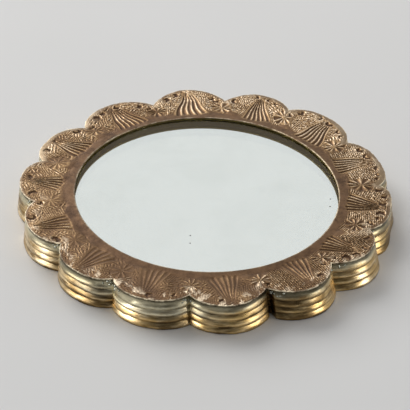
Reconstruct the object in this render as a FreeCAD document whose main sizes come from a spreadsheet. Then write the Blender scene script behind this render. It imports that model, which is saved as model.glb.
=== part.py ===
"""Small round wall mirror in a hollow, scalloped frame of brass sheet, modelled lying on its back.

The axis of the round glass is Z, the back plane is Z = 0 and the front faces +Z.
One lobe of the frame points along +Y, which is up when the mirror hangs on a wall.
All lengths are in millimetres and all angles in degrees.
"""

import FreeCAD, Part
import os
import Sketcher

Vector = FreeCAD.Vector

# Each driving dimension is written once here and read everywhere else through its name.
DIMENSIONS = (
    # Outline of the face: radius of the opening, width of the face at a lobe, number and depth of the lobes.
    ("sight_radius", 53.0),
    ("face_width", 22.0),
    ("lobe_count", 14),
    ("lobe_depth", 7.0),
    # Face sheet: gauge, border raised round the opening, and collar turned down to the glass.
    ("face_gauge", 0.6),
    ("border_width", 4.0),
    ("border_rise", 0.3),
    ("collar_depth", 1.0),
    # Side strip: gauge, how far the face's rim stands past it, plain neck, reeds below it, and lean.
    ("band_gauge", 0.5),
    ("rim_overhang", 0.3),
    ("neck_height", 1.2),
    ("reed_count", 4),
    ("reed_rise", 0.45),
    ("flare", 1.2),
    # Glass: how far it runs in behind the face, its silvering and what packs it from behind.
    ("glass_lap", 4.0),
    ("glass_thickness", 4.0),
    ("silver_margin", 0.4),
    ("silver_thickness", 0.1),
    ("card_thickness", 0.6),
    ("board_thickness", 2.8),
    # Clips soldered under the face, which stand beside the glass and turn in under the board.
    ("clip_count", 8),
    ("clip_clearance", 0.3),
    ("clip_gauge", 0.6),
    ("clip_width", 7.0),
    ("clip_foot", 4.0),
    ("clip_reach", 4.5),
    # Hanging ring cut from plate, and how far its bar is above the middle and off the back plane.
    ("eye_height", 36.0),
    ("ring_gauge", 1.4),
    ("ring_leg", 3.0),
    ("ring_side_clearance", 2.0),
    ("ring_bar_clearance", 0.05),
    ("back_clearance", 1.4),
    # Strap rolled round the ring's bar.
    ("strap_gauge", 0.6),
    ("strap_width", 8.0),
    ("strap_tail", 4.0),
    ("strap_corner", 1.5),
    ("roll_gap", 0.35),
    # Brads through the strap into the board.
    ("brad_radius", 0.6),
    ("brad_clearance", 0.05),
    ("brad_cover", 0.8),
    ("brad_head_radius", 1.5),
    ("brad_head_height", 0.5),
    ("brad_first", 5.0),
    ("brad_spacing", 6.0),
)

doc = FreeCAD.newDocument("wall_mirror")
dims = doc.addObject("Spreadsheet::Sheet", "dims")
for row, (alias, size) in enumerate(DIMENSIONS, start=1):
    dims.set(f"A{row}", str(size))
    dims.setAlias(f"A{row}", alias)
doc.recompute()

# Sizes worked out from the driving dimensions, as expressions that the pieces share.
# Each lobe of the face is an arc about a point that lies LOBE_CENTRE from the mirror's axis.
TIP_RADIUS = "(dims.sight_radius + dims.face_width)"
NOTCH_RADIUS = f"({TIP_RADIUS} - dims.lobe_depth)"
HALF_STEP = "(180 / dims.lobe_count)"
NOTCH_ALONG = f"({NOTCH_RADIUS} * cos({HALF_STEP}))"
LOBE_CENTRE = f"(({TIP_RADIUS}^2 - {NOTCH_RADIUS}^2) / (2 * ({TIP_RADIUS} - {NOTCH_ALONG})))"
LOBE_RADIUS = f"({TIP_RADIUS} - {LOBE_CENTRE})"
BORDER_RADIUS = "(dims.sight_radius + dims.border_width)"
COLLAR_RADIUS = "(dims.sight_radius + dims.face_gauge)"
GLASS_RADIUS = "(dims.sight_radius + dims.glass_lap)"
# The ring's square bar turns in the strap's rolled eye, which hangs under the board clear of the back plane.
EYE_BORE = "(dims.ring_gauge / sqrt(2) + dims.ring_bar_clearance)"
EYE_RADIUS = f"({EYE_BORE} + dims.strap_gauge)"
EYE_LEVEL = f"(dims.back_clearance + {EYE_RADIUS})"
# Heights of the stack, from the back of the board to the front of the face.
BOARD_BACK = f"({EYE_LEVEL} + {EYE_RADIUS})"
STRAP_BACK = f"({BOARD_BACK} - dims.strap_gauge)"
CLIP_BACK = f"({BOARD_BACK} - dims.clip_gauge)"
CARD_BACK = f"({BOARD_BACK} + dims.board_thickness)"
SILVER_BACK = f"({CARD_BACK} + dims.card_thickness)"
GLASS_BACK = f"({SILVER_BACK} + dims.silver_thickness)"
GLASS_FRONT = f"({GLASS_BACK} + dims.glass_thickness)"
SIGHT_HEIGHT = f"({GLASS_FRONT} + dims.collar_depth)"
FIELD_HEIGHT = f"({SIGHT_HEIGHT} - dims.border_rise)"
FIELD_UNDER = f"({FIELD_HEIGHT} - dims.face_gauge)"
# The reeds share the height of the side strip below its neck.
REEDS_HEIGHT = f"({FIELD_UNDER} - dims.neck_height)"
# The brads stand in a row below the eye, and each ends short of the front of the board.
BRAD_ROW = ("(dims.eye_height - dims.brad_first)", "(dims.eye_height - dims.brad_first - dims.brad_spacing)")
BRAD_TIP = f"({CARD_BACK} - dims.brad_cover)"
BRAD_HOLE = "(dims.brad_radius + dims.brad_clearance)"
# A length that clears the whole frame, for cuts that run past it.
BEYOND = f"(2 * {TIP_RADIUS})"


def number(expression):
    """Return the present value of an expression of driving dimensions."""
    return float(dims.evalExpression(expression))


def new_body(label):
    """Return an empty body that carries one piece's name."""
    body = doc.addObject("PartDesign::Body", label)
    body.Label = label
    return body


def origin_feature(body, role):
    """Return one of the body's own base planes or axes."""
    return next(item for item in body.Origin.OriginFeatures if item.Role == role)


def new_sketch(body, name, role, **shifts):
    """Return an empty sketch on one of the body's base planes, moved along its own axes by expressions."""
    sketch = body.newObject("Sketcher::SketchObject", name)
    sketch.AttachmentSupport = (origin_feature(body, role), [""])
    sketch.MapMode = "FlatFace"
    for axis, shift in shifts.items():
        sketch.setExpression(f"AttachmentOffset.Base.{axis}", shift)
    return sketch


def hold(sketch, kind, expression, *geometry):
    """Add a constraint whose size follows an expression."""
    index = sketch.addConstraint(Sketcher.Constraint(kind, *geometry, number(expression)))
    sketch.setExpression(f"Constraints[{index}]", expression)


def pin(sketch, edge, end, corner):
    """Hold one point of an edge at a corner, given as two expressions, where "0" is on the sketch's axis."""
    for kind, axis, expression in (("DistanceX", -2, corner[0]), ("DistanceY", -1, corner[1])):
        if expression == "0":
            sketch.addConstraint(Sketcher.Constraint("PointOnObject", edge, end, axis))
        else:
            hold(sketch, kind, expression, -1, 1, edge, end)


def draw_outline(sketch, corners):
    """Draw a closed outline of straight sides through its corners, which are pairs of expressions."""
    places = [Vector(number(across), number(along), 0) for across, along in corners]
    edges = [
        sketch.addGeometry(Part.LineSegment(places[side - 1], places[side]), False)
        for side in range(len(places))
    ]
    for side, edge in enumerate(edges):
        pin(sketch, edge, 2, corners[side])
        sketch.addConstraint(Sketcher.Constraint("Coincident", edges[side - 1], 2, edge, 1))


def draw_box(sketch, half_width, low, high):
    """Draw a rectangle that is even about the sketch's upright axis."""
    draw_outline(sketch, [
        (f"(-{half_width})", low),
        (half_width, low),
        (half_width, high),
        (f"(-{half_width})", high),
    ])


def draw_circle(sketch, centre, radius):
    """Draw a circle whose centre and radius follow expressions."""
    place = Vector(number(centre[0]), number(centre[1]), 0)
    edge = sketch.addGeometry(Part.Circle(place, Vector(0, 0, 1), number(radius)), False)
    hold(sketch, "Radius", radius, edge)
    pin(sketch, edge, 3, centre)


def turn(body, name, sketch, angle=360):
    """Add a revolution of a sketch about its own upright axis, to both sides of the sketch alike."""
    feature = body.newObject("PartDesign::Revolution", name)
    feature.Profile = sketch
    feature.ReferenceAxis = (sketch, ["V_Axis"])
    feature.Angle = angle
    feature.Midplane = True
    doc.recompute()
    return feature


def extrude(body, kind, name, sketch, length, midplane=False, reverse=False):
    """Add a pad, or a pocket cut, of a sketch whose length follows an expression."""
    feature = body.newObject(f"PartDesign::{kind}", name)
    feature.Profile = sketch
    feature.Midplane = midplane
    feature.Reversed = reverse
    feature.setExpression("Length", length)
    doc.recompute()
    return feature


def repeat_round(body, name, count, features=()):
    """Repeat features, or the whole piece where none are named, evenly round the Z axis."""
    pattern = body.newObject("PartDesign::PolarPattern", name)
    if features:
        pattern.Originals = list(features)
    else:
        pattern.TransformMode = "Whole shape"
    pattern.Axis = (origin_feature(body, "Z_Axis"), [""])
    pattern.Angle = 360
    pattern.setExpression("Occurrences", count)
    body.Tip = pattern
    doc.recompute()


def make_face_plate():
    """Face sheet: a flat field of round lobes, a border raised to the opening and a collar turned down there."""
    body = new_body("face_plate")
    lobe = new_sketch(body, "face_lobe", "XY_Plane", z=FIELD_UNDER)
    draw_circle(lobe, ("0", LOBE_CENTRE), LOBE_RADIUS)
    blank = extrude(body, "Pad", "face_lobe_blank", lobe, "dims.face_gauge")
    repeat_round(body, "face_lobes", "dims.lobe_count", [blank])
    hole = new_sketch(body, "face_hole", "XY_Plane")
    draw_circle(hole, ("0", "0"), BORDER_RADIUS)
    extrude(body, "Pocket", "face_hole_cut", hole, BEYOND, midplane=True)
    border = new_sketch(body, "face_border", "YZ_Plane")
    border_slope = "(dims.border_rise / dims.border_width)"
    draw_outline(border, [
        (BORDER_RADIUS, FIELD_UNDER),
        (BORDER_RADIUS, FIELD_HEIGHT),
        ("dims.sight_radius", SIGHT_HEIGHT),
        ("dims.sight_radius", GLASS_FRONT),
        (COLLAR_RADIUS, GLASS_FRONT),
        (COLLAR_RADIUS, f"({SIGHT_HEIGHT} - dims.face_gauge * (1 + {border_slope}))"),
    ])
    turn(body, "face_border_ring", border)
    return body


def band_place(height, stand):
    """Return the corner of the side strip's section at a height, standing off the leaning line of its grooves."""
    lean = f"dims.flare * {height} / {REEDS_HEIGHT}"
    return f"({LOBE_RADIUS} - dims.rim_overhang + dims.flare - {lean} + {stand})", height


def make_side_band():
    """Side strip: reeds pressed along it, bent round each lobe, folded at the notches and flared to its foot."""
    body = new_body("side_band")
    section = new_sketch(body, "band_section", "YZ_Plane", x=LOBE_CENTRE)
    pitch = f"{REEDS_HEIGHT} / dims.reed_count"
    foot = f"({LOBE_RADIUS} - dims.rim_overhang + dims.flare)"
    neck = f"({LOBE_RADIUS} - dims.rim_overhang)"
    corners = [(foot, "0")]
    for index in range(int(number("dims.reed_count"))):
        corners.append(band_place(f"({pitch} * ({index} + 0.5))", "dims.reed_rise"))
        corners.append(band_place(f"({pitch} * ({index} + 1))", "0"))
    corners += [
        (neck, FIELD_UNDER),
        (f"({neck} - dims.band_gauge)", FIELD_UNDER),
        (f"({foot} - dims.band_gauge)", "0"),
    ]
    draw_outline(section, corners)
    turn(body, "band_lobe", section, angle=180)
    sector = new_sketch(body, "band_sector", "XY_Plane")
    near = "(dims.sight_radius / 2)"
    for sign in ("", "-"):
        draw_outline(sector, [
            (f"({sign}{near} * tan({HALF_STEP}))", near),
            (f"({sign}{BEYOND} * tan({HALF_STEP}))", BEYOND),
            (f"({sign}{BEYOND} * tan({HALF_STEP}))", near),
        ])
    extrude(body, "Pocket", "band_mitre", sector, BEYOND, midplane=True)
    repeat_round(body, "band_lobes", "dims.lobe_count")
    return body


def make_retaining_clips():
    """Bent clips round the glass: foot under the face, leg beside the glass, end turned in under the board."""
    body = new_body("retaining_clips")
    body.AllowCompound = True
    section = new_sketch(body, "clip_section", "YZ_Plane")
    inside = f"({GLASS_RADIUS} + dims.clip_clearance)"
    outside = f"({inside} + dims.clip_gauge)"
    foot_end = f"({outside} + dims.clip_foot)"
    turned_end = f"({outside} - dims.clip_reach)"
    draw_outline(section, [
        (turned_end, CLIP_BACK),
        (outside, CLIP_BACK),
        (outside, f"({FIELD_UNDER} - dims.clip_gauge)"),
        (foot_end, f"({FIELD_UNDER} - dims.clip_gauge)"),
        (foot_end, FIELD_UNDER),
        (inside, FIELD_UNDER),
        (inside, BOARD_BACK),
        (turned_end, BOARD_BACK),
    ])
    clip = extrude(body, "Pad", "clip", section, "dims.clip_width", midplane=True)
    repeat_round(body, "clips", "dims.clip_count", [clip])
    return body


def make_disc(label, radius, back, thickness):
    """Plain round layer of the stack, from its back height forwards."""
    disc = doc.addObject("Part::Cylinder", label)
    disc.Label = label
    disc.setExpression("Radius", radius)
    disc.setExpression("Height", thickness)
    disc.setExpression("Placement.Base.z", back)
    doc.recompute()
    return disc


def make_backing_board():
    """Thin board behind the card, with blind holes for the brads."""
    body = new_body("backing_board")
    outline = new_sketch(body, "board_outline", "XY_Plane", z=BOARD_BACK)
    draw_circle(outline, ("0", "0"), GLASS_RADIUS)
    extrude(body, "Pad", "board_disc", outline, "dims.board_thickness")
    holes = new_sketch(body, "board_holes", "XY_Plane", z=BOARD_BACK)
    for place in BRAD_ROW:
        draw_circle(holes, ("0", place), BRAD_HOLE)
    depth = f"({BRAD_TIP} - {BOARD_BACK} + dims.brad_clearance)"
    extrude(body, "Pocket", "board_hole_cut", holes, depth, reverse=True)
    return body


def make_hanger_strap():
    """Strap flat against the board, with its end rolled into an open eye round the ring's bar."""
    body = new_body("hanger_strap")
    plan = new_sketch(body, "strap_plan", "XY_Plane", z=STRAP_BACK)
    side = "(dims.strap_width / 2)"
    tail = f"({BRAD_ROW[-1]} - dims.strap_tail)"
    draw_outline(plan, [
        (f"(dims.strap_corner - {side})", tail),
        (f"({side} - dims.strap_corner)", tail),
        (side, f"({tail} + dims.strap_corner)"),
        (side, "dims.eye_height"),
        (f"(-{side})", "dims.eye_height"),
        (f"(-{side})", f"({tail} + dims.strap_corner)"),
    ])
    extrude(body, "Pad", "strap_flat", plan, "dims.strap_gauge")
    roll = new_sketch(body, "strap_roll", "YZ_Plane")
    draw_circle(roll, ("dims.eye_height", EYE_LEVEL), EYE_RADIUS)
    extrude(body, "Pad", "strap_roll_wall", roll, "dims.strap_width", midplane=True)
    bore = new_sketch(body, "strap_bore", "YZ_Plane")
    draw_circle(bore, ("dims.eye_height", EYE_LEVEL), EYE_BORE)
    extrude(body, "Pocket", "strap_bore_cut", bore, BEYOND, midplane=True)
    mouth = new_sketch(body, "strap_mouth", "YZ_Plane")
    mouth_back = f"({STRAP_BACK} - dims.roll_gap)"
    mouth_start = f"(dims.eye_height - 2 * {EYE_RADIUS})"
    mouth_end = f"(dims.eye_height - {EYE_BORE} / 2)"
    draw_outline(mouth, [
        (mouth_start, mouth_back),
        (mouth_end, mouth_back),
        (mouth_end, STRAP_BACK),
        (mouth_start, STRAP_BACK),
    ])
    extrude(body, "Pocket", "strap_mouth_cut", mouth, BEYOND, midplane=True)
    holes = new_sketch(body, "strap_holes", "XY_Plane")
    for place in BRAD_ROW:
        draw_circle(holes, ("0", place), BRAD_HOLE)
    extrude(body, "Pocket", "strap_hole_cut", holes, BEYOND, midplane=True)
    return body


def make_strap_brads():
    """Brads with low conical heads, through the strap into the board."""
    body = new_body("strap_brads")
    body.AllowCompound = True
    section = new_sketch(body, "brad_section", "YZ_Plane", x=BRAD_ROW[0])
    crown = f"({STRAP_BACK} - dims.brad_head_height)"
    draw_outline(section, [
        ("0", crown),
        ("(dims.brad_head_radius - dims.brad_head_height)", crown),
        ("dims.brad_head_radius", STRAP_BACK),
        ("dims.brad_radius", STRAP_BACK),
        ("dims.brad_radius", BRAD_TIP),
        ("0", BRAD_TIP),
    ])
    brad = turn(body, "brad", section)
    pattern = body.newObject("PartDesign::LinearPattern", "brad_pair")
    pattern.Originals = [brad]
    pattern.Direction = (origin_feature(body, "Y_Axis"), [""])
    pattern.Reversed = True
    pattern.setExpression("Length", "dims.brad_spacing")
    pattern.Occurrences = len(BRAD_ROW)
    body.Tip = pattern
    doc.recompute()
    return body


def make_hanger_ring():
    """Ring cut from plate: a half-round bow on two legs, and a bar of square section that turns in the strap's eye."""
    body = new_body("hanger_ring")
    back = f"({EYE_LEVEL} - dims.ring_gauge / 2)"
    shoulder = "(dims.eye_height + dims.ring_leg)"
    bar_outside = "(dims.eye_height - dims.ring_gauge / 2)"
    bar_inside = "(dims.eye_height + dims.ring_gauge / 2)"
    inside = "(dims.strap_width / 2 + dims.ring_side_clearance)"
    outside = f"({inside} + dims.ring_gauge)"
    bow = new_sketch(body, "ring_bow", "XY_Plane", z=back)
    draw_circle(bow, ("0", shoulder), outside)
    draw_circle(bow, ("0", shoulder), inside)
    extrude(body, "Pad", "ring_bow_round", bow, "dims.ring_gauge")
    lower_half = new_sketch(body, "ring_lower_half", "XY_Plane", z=back)
    draw_box(lower_half, BEYOND, f"({shoulder} - {BEYOND})", shoulder)
    extrude(body, "Pocket", "ring_lower_cut", lower_half, "dims.ring_gauge", reverse=True)
    legs = new_sketch(body, "ring_legs", "XY_Plane", z=back)
    draw_outline(legs, [
        (f"(-{outside})", shoulder),
        (f"(-{outside})", bar_outside),
        (outside, bar_outside),
        (outside, shoulder),
        (inside, shoulder),
        (inside, bar_inside),
        (f"(-{inside})", bar_inside),
        (f"(-{inside})", shoulder),
    ])
    extrude(body, "Pad", "ring_legs_and_bar", legs, "dims.ring_gauge")
    return body


PIECES = (
    make_face_plate(),
    make_side_band(),
    make_disc("mirror_glass", GLASS_RADIUS, GLASS_BACK, "dims.glass_thickness"),
    make_disc("mirror_silvering", f"({GLASS_RADIUS} - dims.silver_margin)", SILVER_BACK, "dims.silver_thickness"),
    make_disc("packing_card", GLASS_RADIUS, CARD_BACK, "dims.card_thickness"),
    make_backing_board(),
    make_retaining_clips(),
    make_hanger_strap(),
    make_strap_brads(),
    make_hanger_ring(),
)

for item in doc.Objects:
    if "Invalid" in item.State or "Error" in item.State:
        raise RuntimeError(f"{item.Name} did not build: {item.State}")
for piece in PIECES:
    if piece.Shape.isNull() or not piece.Shape.isValid() or not piece.Shape.Solids:
        raise RuntimeError(f"{piece.Label} has no sound solid")

os.makedirs("parts", exist_ok=True)
for piece in PIECES:
    piece.Shape.exportStep(f"parts/{piece.Label}.step")
    print(f"{piece.Label}: {len(piece.Shape.Solids)} solid(s), {piece.Shape.Volume:.1f} cubic mm")
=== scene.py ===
"""Looks of a small round wall mirror in a scalloped frame of chased and reeded brass sheet.

The mirror lies on its back on a pale floor, as photographed. Sizes are in millimetres until a mesh is made,
because Blender's own unit here is the metre. The lobe that points along +Y is lobe 0, and lobes and notches
are numbered clockwise from it, seen from the front, with notch k before lobe k.
"""

import logging
import math
from collections.abc import Sequence
from dataclasses import dataclass, field
from enum import Enum

import bmesh
import bpy
import numpy as np
from mathutils import Matrix, Vector


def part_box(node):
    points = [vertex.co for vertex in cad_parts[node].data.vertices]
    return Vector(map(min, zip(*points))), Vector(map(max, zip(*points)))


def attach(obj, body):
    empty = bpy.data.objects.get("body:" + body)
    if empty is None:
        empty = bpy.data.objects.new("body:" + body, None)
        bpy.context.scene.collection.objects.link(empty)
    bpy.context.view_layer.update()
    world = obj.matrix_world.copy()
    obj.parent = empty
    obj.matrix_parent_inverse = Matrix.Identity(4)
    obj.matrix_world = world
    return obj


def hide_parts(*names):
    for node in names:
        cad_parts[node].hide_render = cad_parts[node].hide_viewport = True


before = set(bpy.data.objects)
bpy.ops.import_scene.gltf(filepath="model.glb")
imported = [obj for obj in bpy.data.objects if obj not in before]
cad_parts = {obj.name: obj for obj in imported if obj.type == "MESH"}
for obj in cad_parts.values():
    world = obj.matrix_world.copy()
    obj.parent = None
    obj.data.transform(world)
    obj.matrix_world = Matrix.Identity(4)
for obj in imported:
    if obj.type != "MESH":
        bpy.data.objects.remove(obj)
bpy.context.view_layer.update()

MM = 0.001
FULL_TURN = 2 * math.pi
BODY = "mirror"
RING_BODY = "ring"
LOG = logging.getLogger("wall_mirror")
# Angle for smooth() that no edge turns by, so that the whole mesh is shaded smooth.
NO_CREASE = 180.0
# Uneven numbers that stir two whole numbers into a stray value.
STIR = (12.9898, 78.233, 43758.5453)
# Share of a lobe that keeps a point on a notch with the lobe after it.
HAIR = 1e-9

Colour = tuple[float, float, float, float]
Grid = np.ndarray
Material = bpy.types.Material
Mesh = bpy.types.Mesh
Node = bpy.types.Node
Piece = bpy.types.Object
Shares = tuple[float, ...]
Sizes = dict[str, float | int]
Socket = bpy.types.NodeSocket
Span = tuple[float, float]


class Slot(Enum):
    """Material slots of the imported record."""

    FACE = "chased_brass"
    BAND = "reeded_brass"
    GLASS = "clear_glass"
    SILVER = "silvering"
    CARD = "grey_card"
    BOARD = "board_wood"
    CLIPS = "clip_brass"
    HANGER = "hanger_brass"


def smooth_step(low: float, high: float, value: Grid) -> Grid:
    """Return values that rise smoothly from 0 at low to 1 at high."""
    share = np.clip((value - low) / (high - low), 0, 1)
    return share * share * (3 - 2 * share)


class Wire:
    """Output of a node that is reckoned with like a number, each sign adding a Math node."""

    def __init__(self, graph: "Graph", socket: Socket) -> None:
        """Hold the output and the graph that it belongs to."""
        self.graph = graph
        self.socket = socket

    def __add__(self, other: object) -> "Wire":
        """Return the sum."""
        return self.graph.math("ADD", self, other)

    def __sub__(self, other: object) -> "Wire":
        """Return the difference."""
        return self.graph.math("SUBTRACT", self, other)

    def __rsub__(self, other: object) -> "Wire":
        """Return what is left of a number."""
        return self.graph.math("SUBTRACT", other, self)

    def __mul__(self, other: object) -> "Wire":
        """Return the product."""
        return self.graph.math("MULTIPLY", self, other)

    def __truediv__(self, other: object) -> "Wire":
        """Return the quotient."""
        return self.graph.math("DIVIDE", self, other)

    def __rtruediv__(self, other: object) -> "Wire":
        """Return a number divided by it."""
        return self.graph.math("DIVIDE", other, self)

    def __pow__(self, power: object) -> "Wire":
        """Return the power."""
        return self.graph.math("POWER", self, power)

    def span(self, low: float, high: float, start: float = 0.0, end: float = 1.0) -> "Wire":
        """Return the value moved from the range low to high into start to end, and held inside it."""
        feeds = {"Value": self, "From Min": low, "From Max": high, "To Min": start, "To Max": end}
        return self.graph.out(self.graph.add("ShaderNodeMapRange", feeds))


class Graph:
    """Adds nodes to a tree and wires them, one call for each node."""

    def __init__(self, tree: bpy.types.NodeTree) -> None:
        """Empty the tree that the nodes go into."""
        self.tree = tree
        self.tree.nodes.clear()

    def feed(self, socket: Socket, value: object) -> None:
        """Link an output to an input socket, or set the socket's own value.

        Args:
            socket: The input.
            value: A wire, a node whose first output is meant, an output, or a constant.
        """
        if isinstance(value, Wire):
            value = value.socket
        if isinstance(value, Node):
            value = value.outputs[0]
        if isinstance(value, Socket):
            self.tree.links.new(value, socket)
        else:
            socket.default_value = value

    def add(self, kind: str, feeds: dict | None = None, **settings: object) -> Node:
        """Add one node.

        Args:
            kind: Blender's name of the node's type.
            feeds: Input name or number, and the output or constant that it takes.
            **settings: Properties of the node.

        Returns:
            The new node.
        """
        node = self.tree.nodes.new(kind)
        for name, value in settings.items():
            setattr(node, name, value)
        for key, value in (feeds or {}).items():
            self.feed(node.inputs[key], value)
        return node

    def out(self, node: Node, key: int | str = 0) -> Wire:
        """Return an output of a node to reckon with."""
        return Wire(self, node.outputs[key])

    def math(self, operation: str, *values: object, clamp: bool = False) -> Wire:
        """Return the result of a Math node on its values."""
        feeds = dict(enumerate(values))
        return self.out(self.add("ShaderNodeMath", feeds, operation=operation, use_clamp=clamp))

    def mix(self, share: object, first: object, second: object) -> Wire:
        """Return a colour mixed from two by a share, through the colour sockets of a Mix node."""
        return self.out(self.add("ShaderNodeMix", {0: share, 6: first, 7: second}, data_type="RGBA"), 2)

    def ramp(self, value: object, stops: Sequence[tuple[float, Colour]]) -> Wire:
        """Colour a value by a ramp.

        Args:
            value: The value.
            stops: Places on the ramp from 0 to 1, in order, and their colours.

        Returns:
            The ramp's colour at the value.
        """
        node = self.add("ShaderNodeValToRGB", {"Fac": value})
        elements = node.color_ramp.elements
        while len(elements) < len(stops):
            elements.new(1.0)
        for element, (place, colour) in zip(elements, stops):
            element.position = place
            element.color = colour
        return self.out(node, "Color")


class Paint(Graph):
    """Nodes of one surface, with the textures that its finish shares."""

    def __init__(self, name: str) -> None:
        """Make a material with a surface shader and the piece's own coordinates.

        Args:
            name: The material's name.
        """
        self.material = bpy.data.materials.new(name)
        self.material.use_nodes = True
        super().__init__(self.material.node_tree)
        self.shader = self.add("ShaderNodeBsdfPrincipled")
        self.output = self.add("ShaderNodeOutputMaterial", {"Surface": self.shader})
        self.place = self.out(self.add("ShaderNodeTexCoord"), "Object")

    def set(self, **values: object) -> None:
        """Feed the surface shader's inputs, named with underscores for spaces."""
        for name, value in values.items():
            self.feed(self.shader.inputs[name.replace("_", " ").title().replace("Ior", "IOR")], value)

    def noise(self, size_mm: float, detail: float = 3.0, stretch: Sequence[float] = (1, 1, 1)) -> Wire:
        """Add a noise in the piece's own coordinates.

        Args:
            size_mm: About how large its blotches are.
            detail: How many finer noises are laid on it.
            stretch: How much finer it is along each axis.

        Returns:
            The noise, mostly between 0.3 and 0.7.
        """
        mapping = self.add("ShaderNodeMapping", {"Vector": self.place, "Scale": tuple(stretch)})
        feeds = {"Vector": mapping, "Scale": 1 / (size_mm * MM), "Detail": detail, "Roughness": 0.6}
        return self.out(self.add("ShaderNodeTexNoise", feeds))

    def attribute(self, name: str) -> Wire:
        """Return a value that the piece's mesh carries at each point."""
        return self.out(self.add("ShaderNodeAttribute", attribute_name=name), "Fac")

    def bump(self, height: object, depth_mm: float, under: object = None) -> Wire:
        """Bend the surface's normal.

        Args:
            height: Heights from 0 to 1.
            depth_mm: How much the greatest height is.
            under: A bent normal that this one lies on, if there is one.

        Returns:
            The bent normal.
        """
        node = self.add("ShaderNodeBump", {"Height": height, "Distance": depth_mm * MM})
        if under is not None:
            self.feed(node.inputs["Normal"], under)
        return self.out(node)


@dataclass(frozen=True)
class ChasedBrass:
    """Rubbed brown patina of the face: dark in the chasing, bare on ridges and edges, dark olive in the
    collar.
    """

    recess: Colour = (0.050, 0.022, 0.008, 1)
    shade: Colour = (0.096, 0.050, 0.021, 1)
    ground: Colour = (0.150, 0.083, 0.036, 1)
    rubbed: Colour = (0.350, 0.229, 0.114, 1)
    bare: Colour = (0.740, 0.600, 0.450, 1)
    flake: Colour = (0.840, 0.700, 0.520, 1)
    plum: Colour = (0.146, 0.079, 0.038, 1)
    rolled: Colour = (0.290, 0.212, 0.128, 1)
    cut_edge: Colour = (0.920, 0.810, 0.590, 1)
    collar_olive: Colour = (0.175, 0.135, 0.040, 1)
    inner: Colour = (0.440, 0.325, 0.090, 1)
    punch: float = 0.95
    levels: Shares = (0.04, 0.30, 0.50, 0.68, 0.95)

    def make(self) -> Material:
        """Make the material.

        Returns:
            The material.
        """
        paint = Paint(Slot.FACE.value)
        grain = paint.noise(0.9)
        plain = paint.attribute("plain")
        collar_face = paint.attribute("collar_face")
        # How worn the sheet is: 0 in the deepest dirt, 1 on bare brass.
        worn = (grain - 0.5) * 0.20 + paint.attribute("relief")
        worn = (paint.noise(6.0, 4.0) - 0.5) * 0.30 + worn
        punched = paint.add("ShaderNodeTexVoronoi", {"Vector": paint.place, "Scale": 1 / (self.punch * MM)})
        pits = paint.out(punched, "Distance").span(0.18, 0.55, -0.24, 0.13)
        worn = paint.attribute("stipple") * pits + worn
        worn = (paint.noise(1.8, 5.0) - 0.5) * plain + worn
        tones = (self.recess, self.shade, self.ground, self.rubbed, self.bare)
        skin = paint.ramp(worn, list(zip(self.levels, tones)))
        skin = paint.mix(paint.noise(6.0).span(0.40, 0.60, 0.0, 0.85) * plain, skin, self.plum)
        patch = paint.noise(5.5, 5.0, (1.7, 1, 1)).span(0.51, 0.58, 0.0, 0.80)
        skin = paint.mix(patch * paint.attribute("rub"), skin, self.flake)
        skin = paint.mix(paint.attribute("roll"), skin, self.rolled)
        edge = paint.attribute("edge") * grain.span(0.35, 0.6, 0.4, 1.0)
        edge = edge * paint.noise(5.0).span(0.38, 0.56, 0.15, 1.0)
        skin = paint.mix(edge, skin, self.cut_edge)
        skin = paint.mix(paint.attribute("hollow"), skin, self.inner)
        paint.set(base_color=paint.mix(collar_face, skin, self.collar_olive))
        paint.set(metallic=collar_face * -0.6 + worn.span(0.45, 0.80, 0.80, 0.97))
        paint.set(roughness=collar_face * 0.30 + paint.noise(2.2).span(0.3, 0.7, 0.38, 0.56))
        paint.set(specular_ior_level=collar_face * -0.48 + 0.5)
        paint.set(normal=paint.bump(paint.noise(0.6, 2.0), 0.04))
        return paint.material


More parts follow.
